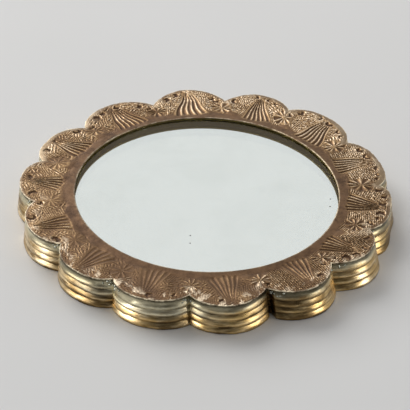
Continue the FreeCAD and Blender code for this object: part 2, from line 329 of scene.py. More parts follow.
@dataclass(frozen=True)
class ReededBrass:
    """Polished brass of the side strip, tarnished in its grooves, with soft solder run down from the face,
    painted shade under the rim and in the joint's gap, and painted shade and gold sheen lobe by lobe.
    """

    bright: Colour = (0.840, 0.700, 0.480, 1)
    deep: Colour = (0.480, 0.325, 0.140, 1)
    painted_gold_sheen: Colour = (0.740, 0.515, 0.200, 1)
    stained: Colour = (0.185, 0.115, 0.045, 1)
    tarnish_and_gap_shade: Colour = (0.060, 0.040, 0.016, 1)
    solder: Colour = (0.640, 0.585, 0.410, 1)
    dull_solder: Colour = (0.290, 0.260, 0.170, 1)
    wash_and_painted_sheen: Colour = (0.800, 0.770, 0.590, 1)
    painted_shade: Colour = (0.060, 0.050, 0.030, 1)

    def make(self) -> Material:
        """Make the material.

        Returns:
            The material.
        """
        paint = Paint(Slot.BAND.value)
        # dull carries stains and painted shade, half lobe by half lobe, darkening the brass and its solder.
        dull = paint.attribute("dull")
        brass = paint.mix(paint.noise(8.0, 4.0, (1, 1, 2.2)).span(0.38, 0.62), self.bright, self.deep)
        # Painted gold sheen on some lobes, standing in for warmer reflections.
        brass = paint.mix(paint.attribute("painted_gold_sheen") * 0.75, brass, self.painted_gold_sheen)
        stain = dull * 0.22 + paint.noise(11.0, 5.0, (1, 1, 6))
        brass = paint.mix(stain.span(0.57, 0.71, 0.0, 0.9), brass, self.stained)
        patchy = dull * 0.34 + paint.noise(7.0, 4.0, (1, 1, 2))
        grey = paint.mix(patchy.span(0.56, 0.78), self.solder, self.dull_solder)
        # The thin grey wash of solder, its colour partly lightened as a painted highlight.
        thin = paint.attribute("wash") * paint.noise(5.0).span(0.3, 0.6, 0.5, 0.95)
        brass = paint.mix(thin, brass, paint.mix(0.6, grey, self.wash_and_painted_sheen))
        dirt = paint.attribute("groove") ** 3.0 * paint.noise(6.0).span(0.35, 0.65, 0.5, 1.0)
        brass = paint.mix(dirt, brass, self.tarnish_and_gap_shade)
        brass = paint.mix(paint.attribute("line") * 0.6, brass, self.stained)
        # Darker at the foot lip, and painted shade in the joint's gap, where parted() sets the foot value.
        foot = paint.attribute("foot") * paint.noise(3.0).span(0.35, 0.6, 0.5, 1.0)
        brass = paint.mix(foot, brass, self.tarnish_and_gap_shade)
        ragged = paint.noise(4.0, 4.0) - 0.5
        soldered = (ragged * 0.35 + paint.attribute("solder")).span(-0.12, 0.06)
        skin = paint.mix(soldered, brass, grey)
        # Painted shade: a dark band under the rim's overhang, deeper on the neck of the lobes nearest the
        # camera, and in the joint's gap.
        shadow = paint.attribute("shade") * ragged.span(-0.2, 0.1, 0.6, 0.95)
        paint.set(base_color=paint.mix(shadow, skin, self.painted_shade), metallic=1.0)
        paint.set(roughness=soldered * 0.05 + paint.noise(5.0).span(0.3, 0.7, 0.27, 0.38))
        paint.set(normal=paint.bump(paint.noise(3.0, 2.0), 0.03))
        return paint.material


@dataclass(frozen=True)
class SoftSolder:
    """Grey, slightly green solder with a dull skin."""

    light: Colour = (0.560, 0.570, 0.500, 1)
    dark: Colour = (0.190, 0.205, 0.170, 1)

    def make(self) -> Material:
        """Make the material.

        Returns:
            The material.
        """
        paint = Paint("soft_solder")
        paint.set(base_color=paint.mix(paint.noise(1.5).span(0.35, 0.65), self.light, self.dark))
        paint.set(metallic=0.9, roughness=paint.noise(0.8).span(0.3, 0.7, 0.25, 0.5))
        paint.set(normal=paint.bump(paint.noise(0.7), 0.08))
        return paint.material


@dataclass(frozen=True)
class DullBrass:
    """Plain, handled brass of the clips and the hanger."""

    slot: Slot
    clean: Colour = (0.560, 0.400, 0.190, 1)
    stained: Colour = (0.250, 0.165, 0.080, 1)

    def make(self) -> Material:
        """Make the material.

        Returns:
            The material.
        """
        paint = Paint(self.slot.value)
        blotch = paint.noise(2.6, 4.0).span(0.38, 0.66)
        scratches = paint.noise(0.5, 2.0, (1, 14, 1))
        paint.set(base_color=paint.mix(blotch, self.clean, self.stained), metallic=1.0)
        paint.set(roughness=paint.noise(1.2).span(0.3, 0.7, 0.26, 0.46))
        paint.set(normal=paint.bump(scratches, 0.02))
        return paint.material


@dataclass(frozen=True)
class ClearGlass:
    """Clear, faintly green glass with a little haze, and a painted warm tint on its reflection."""

    tint: Colour = (0.965, 0.982, 0.970, 1)
    smear: Colour = (0.955, 0.972, 0.960, 1)
    wash_and_painted_sheen: Colour = (1.000, 0.700, 0.330, 1)
    bending: float = 1.52

    def make(self) -> Material:
        """Make the material.

        Returns:
            The material.
        """
        paint = Paint(Slot.GLASS.value)
        haze = paint.noise(14.0).span(0.45, 0.75)
        # The warm tint of the reflection is painted: it stands in for warm light from the hollow behind the
        # face.
        paint.set(base_color=paint.mix(haze, self.tint, self.smear), specular_tint=self.wash_and_painted_sheen)
        paint.set(transmission_weight=1.0, ior=self.bending, roughness=0.0)
        return paint.material


@dataclass(frozen=True)
class Silvering:
    """Silver coat of the mirror, with the slightest clouding."""

    bright: Colour = (0.930, 0.945, 0.935, 1)
    clouded: Colour = (0.860, 0.885, 0.870, 1)

    def make(self) -> Material:
        """Make the material.

        Returns:
            The material.
        """
        paint = Paint(Slot.SILVER.value)
        cloud = paint.noise(18.0).span(0.45, 0.75, 0.0, 0.5)
        paint.set(base_color=paint.mix(cloud, self.bright, self.clouded), metallic=1.0, roughness=0.0)
        return paint.material


@dataclass(frozen=True)
class GreyCard:
    """Pulpy card between the silvering and the board."""

    light: Colour = (0.300, 0.265, 0.215, 1)
    dark: Colour = (0.190, 0.165, 0.130, 1)

    def make(self) -> Material:
        """Make the material.

        Returns:
            The material.
        """
        paint = Paint(Slot.CARD.value)
        paint.set(base_color=paint.mix(paint.noise(0.8, 5.0), self.dark, self.light), roughness=0.95)
        paint.set(normal=paint.bump(paint.noise(0.4), 0.05))
        return paint.material


@dataclass(frozen=True)
class BoardWood:
    """Bare, darkened softwood board, with grain along Y and saw marks across it."""

    early: Colour = (0.330, 0.205, 0.105, 1)
    late: Colour = (0.150, 0.082, 0.038, 1)
    grime: Colour = (0.090, 0.060, 0.036, 1)

    def make(self) -> Material:
        """Make the material.

        Returns:
            The material.
        """
        paint = Paint(Slot.BOARD.value)
        rings = paint.noise(22.0, 6.0, (5, 0.35, 1))
        bands = paint.math("PINGPONG", rings * 9.0, 0.5)
        grain = paint.noise(3.0, 3.0, (6, 0.2, 1)) * 0.6 + bands
        wood = paint.mix(grain.span(0.25, 0.75), self.early, self.late)
        dirt = paint.noise(12.0, 5.0).span(0.5, 0.75, 0.0, 0.7)
        saw = paint.noise(1.1, 2.0, (0.15, 1, 1))
        paint.set(base_color=paint.mix(dirt, wood, self.grime))
        paint.set(roughness=grain.span(0.2, 0.9, 0.62, 0.85))
        paint.set(normal=paint.bump(saw, 0.10, paint.bump(grain, 0.08)))
        return paint.material


@dataclass(frozen=True)
class DarkSpeck:
    """Dried dark drop."""

    colour: Colour = (0.045, 0.040, 0.035, 1)
    thin: Colour = (0.110, 0.100, 0.085, 1)

    def make(self) -> Material:
        """Make the material.

        Returns:
            The material.
        """
        paint = Paint("dark_speck")
        paint.set(base_color=paint.mix(paint.noise(0.15), self.colour, self.thin), roughness=0.6)
        return paint.material


@dataclass(frozen=True)
class PalePaper:
    """Paper of the floor, which lets light and sight through from below."""

    grey: Colour = (0.676, 0.676, 0.674, 1)
    light: Colour = (0.700, 0.700, 0.698, 1)

    def make(self) -> Material:
        """Make the material.

        Returns:
            The material.
        """
        paint = Paint("pale_paper")
        tone = paint.noise(160.0, 2.0).span(0.3, 0.7)
        paint.set(base_color=paint.mix(tone, self.grey, self.light), roughness=0.9)
        paint.set(normal=paint.bump(paint.noise(1.2), 0.02))
        through = paint.add("ShaderNodeBsdfTransparent")
        below = paint.out(paint.add("ShaderNodeNewGeometry"), "Backfacing")
        surface = paint.add("ShaderNodeMixShader", {0: below, 1: paint.shader, 2: through})
        paint.feed(paint.output.inputs["Surface"], surface)
        return paint.material


def new_object(name: str, mesh: Mesh, material: Material) -> Piece:
    """Put a mesh into the scene as a piece.

    Args:
        name: The piece's name.
        mesh: Its mesh, in metres and in the mirror's own frame.
        material: Its finish.

    Returns:
        The piece.
    """
    piece = bpy.data.objects.new(name, mesh)
    bpy.context.scene.collection.objects.link(piece)
    mesh.materials.clear()
    mesh.materials.append(material)
    return piece


def seat(piece: Piece, node: str | None, body: str = BODY) -> None:
    """Let a piece ride on a body and stand for a node, whose solid is hidden.

    Args:
        piece: The finished piece.
        node: The solid that it stands for, if there is one.
        body: The body that carries it.
    """
    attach(piece, body)
    if node is not None:
        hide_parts(node)
    LOG.info("%s: %d faces on body %s", piece.name, len(piece.data.polygons), body)


def outward(mesh: Mesh, merge_mm: float = 0.0) -> None:
    """Turn the faces of a closed mesh outwards.

    Args:
        mesh: The mesh.
        merge_mm: Points that are nearer to each other than this are merged first.
    """
    edit = bmesh.new()
    edit.from_mesh(mesh)
    if merge_mm:
        bmesh.ops.remove_doubles(edit, verts=edit.verts, dist=merge_mm * MM)
    bmesh.ops.recalc_face_normals(edit, faces=edit.faces)
    edit.to_mesh(mesh)
    edit.free()


def smooth(mesh: Mesh, crease_deg: float) -> None:
    """Shade a mesh smooth, apart from edges that turn more than an angle."""
    mesh.polygons.foreach_set("use_smooth", np.ones(len(mesh.polygons), bool))
    mesh.set_sharp_from_angle(angle=math.radians(crease_deg))


def carry(mesh: Mesh, name: str, values: Grid) -> None:
    """Store a value at each point of a mesh for its material to read."""
    layer = mesh.attributes.new(name, "FLOAT", "POINT")
    layer.data.foreach_set("value", values.astype(np.float32).ravel())


def points_of(mesh: Mesh) -> Grid:
    """Read the points of a mesh.

    Args:
        mesh: The mesh.

    Returns:
        Places in millimetres, one row each.
    """
    flat = np.zeros(3 * len(mesh.vertices))
    mesh.vertices.foreach_get("co", flat)
    return flat.reshape(-1, 3) / MM


def move_points(mesh: Mesh, points: Grid) -> None:
    """Put the points of a mesh at places in millimetres."""
    mesh.vertices.foreach_set("co", (points * MM).ravel())
    mesh.update()


def baked(piece: Piece) -> Mesh:
    """Turn a piece's modifiers into a plain mesh and take them off it.

    Args:
        piece: The piece, which gets the plain mesh.

    Returns:
        The plain mesh.
    """
    graph = bpy.context.evaluated_depsgraph_get()
    mesh = bpy.data.meshes.new_from_object(piece.evaluated_get(graph), depsgraph=graph)
    piece.modifiers.clear()
    piece.data = mesh
    return mesh


def new_tree(name: str, sizes: Sizes, takes_shape: bool = False) -> tuple[Graph, dict[str, Wire]]:
    """Start a tree of geometry nodes.

    Args:
        name: Its name.
        sizes: The names of its inputs, with their values, which are whole numbers for counts.
        takes_shape: Whether it also takes in the piece's own mesh.

    Returns:
        The tree's graph, and its inputs by their names.
    """
    tree = bpy.data.node_groups.new(name, "GeometryNodeTree")
    grow = Graph(tree)
    if takes_shape:
        tree.interface.new_socket("Geometry", in_out="INPUT", socket_type="NodeSocketGeometry")
    for label, value in sizes.items():
        kind = "NodeSocketInt" if isinstance(value, int) else "NodeSocketFloat"
        tree.interface.new_socket(label, in_out="INPUT", socket_type=kind)
    tree.interface.new_socket("Geometry", in_out="OUTPUT", socket_type="NodeSocketGeometry")
    source = grow.add("NodeGroupInput")
    return grow, {socket.name: Wire(grow, socket) for socket in source.outputs if socket.name}


def grown(piece: Piece, grow: Graph, shape: Node, sizes: Sizes) -> None:
    """End a tree of geometry nodes, and give a piece the plain mesh that the tree makes.

    Args:
        piece: The piece, whose own mesh the tree may take in and whose finish it sets.
        grow: The tree's graph.
        shape: The tree's last node so far.
        sizes: Values of the tree's named inputs.
    """
    shape = grow.add("GeometryNodeRealizeInstances", {"Geometry": shape})
    shape = grow.add("GeometryNodeSetMaterial", {"Geometry": shape, "Material": piece.data.materials[0]})
    grow.add("NodeGroupOutput", {"Geometry": shape})
    modifier = piece.modifiers.new("grow", "NODES")
    modifier.node_group = grow.tree
    for item in grow.tree.interface.items_tree:
        if item.in_out == "INPUT" and item.name in sizes:
            modifier[item.identifier] = sizes[item.name]
    baked(piece)


def torus_faces(rows: int, columns: int) -> list[tuple[int, int, int, int]]:
    """Join up a grid of points that closes on itself both ways.

    Args:
        rows: Number of rows.
        columns: Number of points in a row.

    Returns:
        The quads, by the numbers of their points.
    """
    faces = []
    for row in range(rows):
        here, there = row * columns, (row + 1) % rows * columns
        for column in range(columns):
            turn = (column + 1) % columns
            faces.append((here + column, here + turn, there + turn, there + column))
    return faces


@dataclass(frozen=True)
class Scallops:
    """Regular outline of the frame, and how the maker's hand strayed from it.

    Angles are in degrees and lengths in millimetres. The strays are one for each notch or lobe, clockwise:
    how far a notch is turned back and pushed out, and how far a lobe's rim and its foot are pushed out. The
    foot leans off the rim, and the whole frame is slipped off the glass's axis.
    """

    count: int = 14
    tip: float = 75.0
    notch: float = 68.0
    still: float = 57.0
    foot_to_rim: float = 12.3
    turn_strays: Shares = (-1.1, -1.3, 1.9, 0.7, -0.4, -0.6, 1.3, 0.3, 0.2, -0.3, -0.4, -0.6, 0.9, 1.8)
    notch_strays: Shares = (-2.0, -0.8, 2.0, 1.1, 2.4, 0.5, -1.4, -1.2, 0.4, 0.7, -0.9, 0.5, 0.9, -1.4)
    tip_strays: Shares = (-0.4, 0.2, 0.4, -0.4, -1.0, -1.0, -0.6, 0.0, -0.2, -1.4, -1.0, -0.6, -1.9, -1.8)
    foot_strays: Shares = (0.0, 0.0, 0.0, -2.6, -2.0, 0.3, 0.0, -0.3, 0.2, 0.4, 0.0, 0.4, 0.0, 0.0)
    foot_lean: Span = (0.95, -0.2)
    slip: float = -0.55

    @property
    def step(self) -> float:
        """Angle from one lobe to the next, in radians."""
        return FULL_TURN / self.count

    @property
    def centre(self) -> float:
        """Distance from the mirror's axis to the middle of a lobe's arc."""
        along = self.notch * math.cos(self.step / 2)
        return (self.tip**2 - self.notch**2) / (2 * (self.tip - along))

    @property
    def radius(self) -> float:
        """Radius of a lobe's arc."""
        return self.tip - self.centre

    def local(self, turn: Grid) -> Grid:
        """Return angles from the middle of a lobe, for clockwise angles from the first notch."""
        return turn % self.step - self.step / 2

    def reach(self, local: Grid, stand: Grid | float = 0.0) -> Grid:
        """Return how far out the outline is at angles from a lobe's middle, if its arc stands out."""
        across = self.centre * np.sin(local)
        return self.centre * np.cos(local) + np.sqrt((self.radius + stand) ** 2 - across**2)

    def spots(self, turn: Grid, out: Grid, height: Grid) -> Grid:
        """Return places, one row each, at clockwise angles from the first notch, distances and heights."""
        axis = math.pi / 2 + self.step / 2 - turn
        return np.stack([out * np.cos(axis), out * np.sin(axis), height], -1).reshape(-1, 3)

    def place(self, points: Grid) -> Grid:
        """Return where points are along the outline: a notch's number and the share of the lobe after it."""
        angle = np.arctan2(points[:, 1], points[:, 0])
        return ((math.pi / 2 + self.step / 2 - angle) / self.step) % self.count

    def stray(self, points: Grid) -> Grid:
        """Move points off the regular outline as the maker's hand did, and leave the round opening still.

        Args:
            points: Places in millimetres, one row each.

        Returns:
            The moved places.
        """
        out = np.hypot(points[:, 0], points[:, 1])
        angle = np.arctan2(points[:, 1], points[:, 0])
        place = self.place(points)
        first = np.floor(place).astype(int) % self.count
        share = smooth_step(0, 1, place - np.floor(place))
        turns = np.radians(np.array(self.turn_strays))
        turn = turns[first] * (1 - share) + turns[(first + 1) % self.count] * share
        nearest = np.round(place).astype(int) % self.count
        lobe = smooth_step(0, 1, np.abs(place - np.round(place)) * 2)
        low = 1 - np.clip(points[:, 2] / self.foot_to_rim, 0, 1)
        tips = np.array(self.tip_strays)[first] + np.array(self.foot_strays)[first] * low
        reach = np.array(self.notch_strays)[nearest] * (1 - lobe) + tips * lobe
        loose = smooth_step(self.still, self.notch, out)
        angle = angle + turn * loose
        out = out + reach * loose
        x = out * np.cos(angle) + self.foot_lean[0] * low * loose + self.slip
        y = out * np.sin(angle) + self.foot_lean[1] * low * loose
        return np.stack([x, y, points[:, 2]], 1)

    @staticmethod
    def shared(values: Sequence[float], angle: Grid) -> Grid:
        """Spread values that are given for equal stretches of the round.

        Args:
            values: A value for the middle of each stretch, clockwise from the first notch.
            angle: Clockwise angles from the first notch, in radians.

        Returns:
            Values at the angles, which run smoothly from one middle to the next.
        """
        place = angle / FULL_TURN * len(values) - 0.5
        first = np.floor(place).astype(int)
        share = smooth_step(0, 1, place - first)
        table = np.array(values)
        return table[first % len(values)] * (1 - share) + table[(first + 1) % len(values)] * share


SCALLOPS = Scallops()


@dataclass
class ChasedFace:
    """Face sheet with its chased and punched ornament, its raised border and its turned-down collar.

    The tuples with a value for each lobe, clockwise, say how much shorter its fan is, how deep it is struck,
    how bold the star in the notch before it is, how much painted light or shade it gets (lighter on the far
    lobes, darker on the near ones), how worn it is towards the rim and how dark its border is, with painted
    shade added most on the left lobes. That for the rim's roll has a value for each half of a lobe. Netted
    lobes have crossed lines between their fans. A stray is the most that chance adds to a size or takes off
    it. The rim's wear, the roll's widths and drops and the crescents' odds are the least, and what the lobe's
    own value adds.
    """

    sight: float = 53.0
    border: float = 57.0
    gauge: float = 0.6
    deepest: float = 0.48
    foot_gap: float = 0.02
    lip_width: float = 0.32
    lip_drop: float = 0.18
    lip_foot: float = 0.2
    sight_slip: float = 0.55
    slip_fade: Span = (66.0, 55.0)
    border_steps: Shares = (0.0, 0.12, 0.30, 0.60, 1.10)
    field_start: float = 54.6
    rim_burr: float = 0.10
    rim_ragged: float = 0.34
    rim_wear: Span = (0.75, 0.85)
    roll_widths: Span = (0.9, 2.3)
    roll_drops: Span = (0.14, 0.50)
    rim_asides: Shares = (0.02, -0.12, -1.4)
    rim_drops: Shares = (0.30, 0.55)
    nicks: tuple[tuple[int, float], ...] = ((53, 1.1), (97, 0.4), (151, 2.1), (233, 4.4))
    under_ring: float = 62.0
    columns: int = 92
    field_rings: int = 62
    crease: float = 50.0
    fan_tip: float = 76.5
    fan_start: float = 5.2
    fan_length: float = 21.0
    fan_half_angle: float = 17.5
    fan_depth: float = 0.41
    fan_ridge: float = 0.10
    fan_tilt_stray: float = 9.0
    fan_side_stray: float = 1.0
    fan_length_stray: float = 0.7
    fan_angle_stray: float = 2.2
    flutes: tuple[int, int] = (5, 7)
    star_at: float = 61.9
    star_radius: float = 4.0
    star_depth: float = 0.30
    star_turn_stray: float = 0.4
    star_side_stray: float = 0.6
    rays: tuple[int, int] = (8, 11)
    crescent_inset: float = 3.1
    crescent_radius: float = 1.25
    crescent_depth: float = 0.60
    crescent_burr: float = 0.07
    crescent_odds: Span = (0.10, 0.72)
    crescent_places: Shares = (-56.0, -36.0, -12.0, 14.0, 38.0, 56.0)
    crescent_place_stray: float = 9.0
    crescent_inset_stray: float = 0.6
    crescent_turn_stray: float = 110.0
    crescent_radius_stray: float = 0.45
    crescent_width_stray: float = 0.30
    crescent_bite_stray: float = 0.35
    hatch_pitch: float = 1.20
    hatch_patch: float = 4.2
    hatch_depth: float = 0.22
    hatch_turns: Span = (40.0, -45.0)
    hatch_turn_spread: float = 50.0
    net_turn: float = 42.0
    net_gain: float = 1.7
    netted: tuple[int, ...] = (3, 4, 5, 6)
    swells: tuple[int, ...] = (9, 17, 31, 44)
    swell_height: float = 0.05
    worn_from: Span = (61.0, 65.0)
    blurs: int = 3
    shorter: Shares = (0.0, 0.0, 0.0, 0.0, 0.0, 0.0, 0.0, 0.0, 0.0, 0.8, 3.2, 2.4, 1.0, 0.0)
    struck: Shares = (1.0, 1.0, 1.0, 1.0, 1.0, 0.8, 0.45, 0.24, 0.08, 0.28, 0.5, 0.62, 0.8, 0.95)
    starred: Shares = (0.9, 0.9, 1.0, 1.0, 1.0, 1.2, 1.2, 1.2, 0.8, 0.4, 0.3, 0.35, 0.4, 0.6)
    # Painted light and shade, lobe by lobe: lighter on the far lobes, darker on the near ones.
    pale: Shares = (0.08, 0.06, 0.08, 0.03, -0.05, -0.1, -0.12, -0.1, -0.16, -0.1, -0.03, 0.0, -0.01, -0.08)
    wear: Shares = (0.3, 0.3, 0.4, 0.6, 0.5, 0.55, 0.75, 0.9, 0.9, 0.65, 0.45, 0.35, 0.3, 0.3)
    # Darkening of the plain border, with painted shade added most on the left lobes.
    dusk: Shares = (0.28, 0.2, 0.2, 0.17, 0.13, 0.11, 0.12, 0.12, 0.14, 0.18, 0.34, 0.28, 0.27, 0.28)
    rolls: Shares = (
        0.25, 0.3, 0.35, 0.6, 0.5, 1.0, 0.6, 1.0, 0.6, 0.3, 0.1, 0.1, 0.0, 0.0,
        0.0, 0.0, 0.0, 0.0, 0.0, 0.0, 0.1, 0.2, 0.2, 0.3, 0.9, 0.6, 0.5, 0.25,
    )
    seed: int = 7
    top: float = field(init=False)
    ground: float = field(init=False)
    collar_foot: float = field(init=False)
    chance: np.random.Generator = field(init=False)

    def __post_init__(self) -> None:
        """Take the heights from the solids and start the seeded chance that makes the lobes differ."""
        self.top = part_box("face_plate")[1].z / MM
        self.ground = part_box("side_band")[1].z / MM + self.gauge
        self.collar_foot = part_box("mirror_glass")[1].z / MM + self.foot_gap
        self.chance = np.random.default_rng(self.seed)

    def jitter(self, size: float) -> Grid:
        """Return one stray value for each lobe."""
        return self.chance.uniform(-size, size, SCALLOPS.count)

    @staticmethod
    def whim(first: Grid, second: Grid) -> Grid:
        """Return a fixed stray value from 0 to 1 for each pair of whole numbers."""
        return np.sin(first * STIR[0] + second * STIR[1] + 0.5) * STIR[2] % 1

    def fan(self, across: Grid, along: Grid, lobe: Grid) -> tuple[Grid, Grid]:
        """Chase a fan of tapered flutes on each lobe.

        Args:
            across: Places across the lobe, from its middle line.
            along: Places along the lobe, from the mirror's axis.
            lobe: Number of the lobe that each place is on.

        Returns:
            Heights of the flutes, and how much of each place the fan covers.
        """
        tilt = np.radians(self.jitter(self.fan_tilt_stray))[lobe]
        side = self.jitter(self.fan_side_stray)[lobe]
        length = (self.fan_length + self.jitter(self.fan_length_stray) - np.array(self.shorter))[lobe]
        flutes = self.chance.integers(*self.flutes, SCALLOPS.count)[lobe]
        half = np.radians(self.fan_half_angle + self.jitter(self.fan_angle_stray))[lobe]
        dx, dy = across - side, self.fan_tip - along
        axis = dx * np.sin(tilt) + dy * np.cos(tilt)
        off = dx * np.cos(tilt) - dy * np.sin(tilt)
        out, turn = np.hypot(axis, off), np.arctan2(off, axis)
        lane = (turn / half * 0.5 + 0.5) * flutes + 0.10 * np.sin(0.5 * out + lobe)
        flute_number = np.floor(lane)
        bow = 2 * (lane - flute_number) - 1
        width = out * half / flutes
        whim, other = self.whim(flute_number, lobe), self.whim(lobe, flute_number)
        start = self.fan_start + 3.0 * (whim - 0.5)
        end = length + 1.0 * (other - 0.5) - width * (1 - np.sqrt(np.clip(1 - bow**2, 0, 1)))
        sides = (half - np.abs(turn)) * out
        cover = smooth_step(-0.25, 0.25, sides) * smooth_step(-0.4, 0.8, out - start)
        cover = cover * smooth_step(-0.30, 0.25, end - out)
        struck = np.array(self.struck)[lobe]
        flute = np.clip(0.68 + 0.68 * np.cos(math.pi * bow), 0, 1) * (0.75 + 0.5 * other)
        ridge = self.fan_ridge * (0.3 + 0.7 * struck) * (0.5 - 0.5 * np.cos(math.pi * bow))
        # Where the flutes are rubbed flat, some of their edges still stand as thin lines.
        ridge += 0.30 * (1 - struck) * (0.4 + 1.2 * struck) * np.abs(bow) ** 7 * smooth_step(0.50, 0.85, whim)
        near = smooth_step(-1.0, 0.0, sides) * smooth_step(-1.0, 0.0, length - out)
        near = near * smooth_step(-1.5, 0.0, out - self.fan_start)
        return (ridge - self.fan_depth * struck * flute) * cover, near * (axis > 0)

    def star(self, across: Grid, along: Grid, notch: Grid) -> tuple[Grid, Grid]:
        """Chase a star of raised rays, with narrow pits between them, inside each notch.

        Args:
            across: Places across the line to the notch.
            along: Places along that line, from the mirror's axis.
            notch: Number of the notch that each place is nearest to.

        Returns:
            Heights of the star, and how much of each place it covers.
        """
        rays = self.chance.integers(*self.rays, SCALLOPS.count)[notch]
        turn = self.jitter(self.star_turn_stray)[notch]
        dx = across - self.jitter(self.star_side_stray)[notch]
        dy = along - self.star_at - self.jitter(self.star_side_stray)[notch]
        out, round_it = np.hypot(dx, dy), np.arctan2(dy, dx) + turn
        lane = round_it / FULL_TURN * rays + 0.18 * np.sin(2 * round_it + notch)
        bow = 2 * (lane - np.floor(lane)) - 1
        whim = self.whim(np.floor(lane), notch + 50)
        reach = self.star_radius * (0.70 + 0.42 * whim) - 0.5 * bow**2
        cover = smooth_step(0.5, 1.4, out) * smooth_step(-0.35, 0.35, reach - out)
        ray = np.abs(bow) ** 4 * smooth_step(-0.5, 0.3, reach + 0.6 - out)
        pit = np.clip(1 - (bow / 0.66) ** 2, 0, 1) * (0.5 + 0.7 * whim)
        struck = np.array(self.struck)[notch]
        relief = (0.46 - 0.24 * struck) * ray - self.star_depth * struck * pit * cover
        return np.array(self.starred)[notch] * relief, smooth_step(-0.6, 0.3, self.star_radius - out)

    def crescents(self, across: Grid, along: Grid, lobe: Grid) -> tuple[Grid, Grid]:
        """Punch crescents and pits, no two alike, along each lobe's rim.

        Args:
            across: Places across the lobe, from its middle line.
            along: Places along the lobe, from the mirror's axis.
            lobe: Number of the lobe that each place is on.

        Returns:
            Heights of the punch marks, and how much of each place they cover.
        """
        height, near = np.zeros_like(across), np.zeros_like(across)
        likely = self.crescent_odds[0] + self.crescent_odds[1] * np.array(self.struck)
        for place in self.crescent_places:
            turn = np.radians(place + self.jitter(self.crescent_place_stray))[lobe]
            from_rim = SCALLOPS.radius - self.crescent_inset + self.jitter(self.crescent_inset_stray)
            from_rim = from_rim[lobe]
            hit = (self.chance.uniform(0, 1, SCALLOPS.count) < likely)[lobe]
            dx = across - from_rim * np.sin(turn)
            dy = along - SCALLOPS.centre - from_rim * np.cos(turn)
            way = turn + np.radians(self.jitter(self.crescent_turn_stray))[lobe]
            rise = dx * np.sin(way) + dy * np.cos(way)
            run = dx * np.cos(way) - dy * np.sin(way)
            size = (self.crescent_radius + self.jitter(self.crescent_radius_stray))[lobe]
            narrow = (0.95 + self.jitter(self.crescent_width_stray))[lobe]
            rough = 0.16 * np.sin(3.1 * run + lobe) * np.sin(2.6 * rise + 2 * lobe)
            edge = size - np.hypot(run * narrow, rise) + rough
            moon = smooth_step(-0.2, 0.35, edge)
            shift = (0.75 + self.jitter(self.crescent_bite_stray))[lobe] * size
            bite = smooth_step(-0.2, 0.3, 0.8 * size - np.hypot(run * 0.9, rise - shift) - rough)
            burr = np.exp(-(((edge + 0.28) / 0.25) ** 2)) * smooth_step(0.4, -0.4, rise)
            height += hit * (self.crescent_burr * burr - self.crescent_depth * moon * (1 - 0.9 * bite))
            near = np.maximum(near, hit * smooth_step(-0.5, 0.0, edge))
        return height, near

    def hatch(self, across: Grid, along: Grid, lobe: Grid) -> Grid:
        """Cut patches of short dashes or crossed lines, each patch its own way, into the ground of each lobe.

        Args:
            across: Places across the lobe, from its middle line.
            along: Places along the lobe, from the mirror's axis.
            lobe: Number of the lobe that each place is on.

        Returns:
            Heights of the cuts, as shares of their depth.
        """
        column = np.floor(across / self.hatch_patch + 0.4 * np.sin(along * 0.7 + lobe))
        row = np.floor(along / self.hatch_patch + 0.4 * np.sin(across * 0.6 + lobe))
        whim = self.whim(column + 7 * lobe, row)
        netted = np.isin(lobe, self.netted)
        free_turn = np.where(whim > 0.5, *self.hatch_turns) + self.hatch_turn_spread * (whim - 0.5)
        turn = np.radians(np.where(netted, self.net_turn, free_turn))
        over = across * np.cos(turn) + along * np.sin(turn)
        down = along * np.cos(turn) - across * np.sin(turn)
        line_number = np.floor(over / self.hatch_pitch)
        dash = np.sin(FULL_TURN * (down / (2.8 * self.hatch_pitch) + self.whim(line_number, lobe)))
        line = np.cos(FULL_TURN * over / self.hatch_pitch)
        crossed = line * np.cos(FULL_TURN * down / self.hatch_pitch)
        crossed_here = netted | (self.whim(row, column + 3 * lobe) > 0.55)
        cut = np.where(crossed_here, crossed, line * smooth_step(-0.6, 0.4, dash))
        return cut * np.where(netted, self.net_gain, 1.0)

    def hammered(self, angle: Grid, out: Grid) -> Grid:
        """Work out the slow, uneven swell that the chasing leaves in the sheet.

        Args:
            angle: Clockwise angles from the first notch, in radians.
            out: Distances from the mirror's axis.

        Returns:
            Heights of the swell.
        """
        swell = np.zeros_like(out)
        for waves in self.swells:
            phase, lean = self.chance.uniform(0, FULL_TURN, 2)
            swell += np.sin(waves * angle + phase + (out - self.border) * (0.15 + 0.05 * lean))
        return self.swell_height * swell

    def roll_width(self, angle: Grid) -> Grid:
        """Return how wide the rim's smooth roll is."""
        return self.roll_widths[0] + self.roll_widths[1] * SCALLOPS.shared(self.rolls, angle)

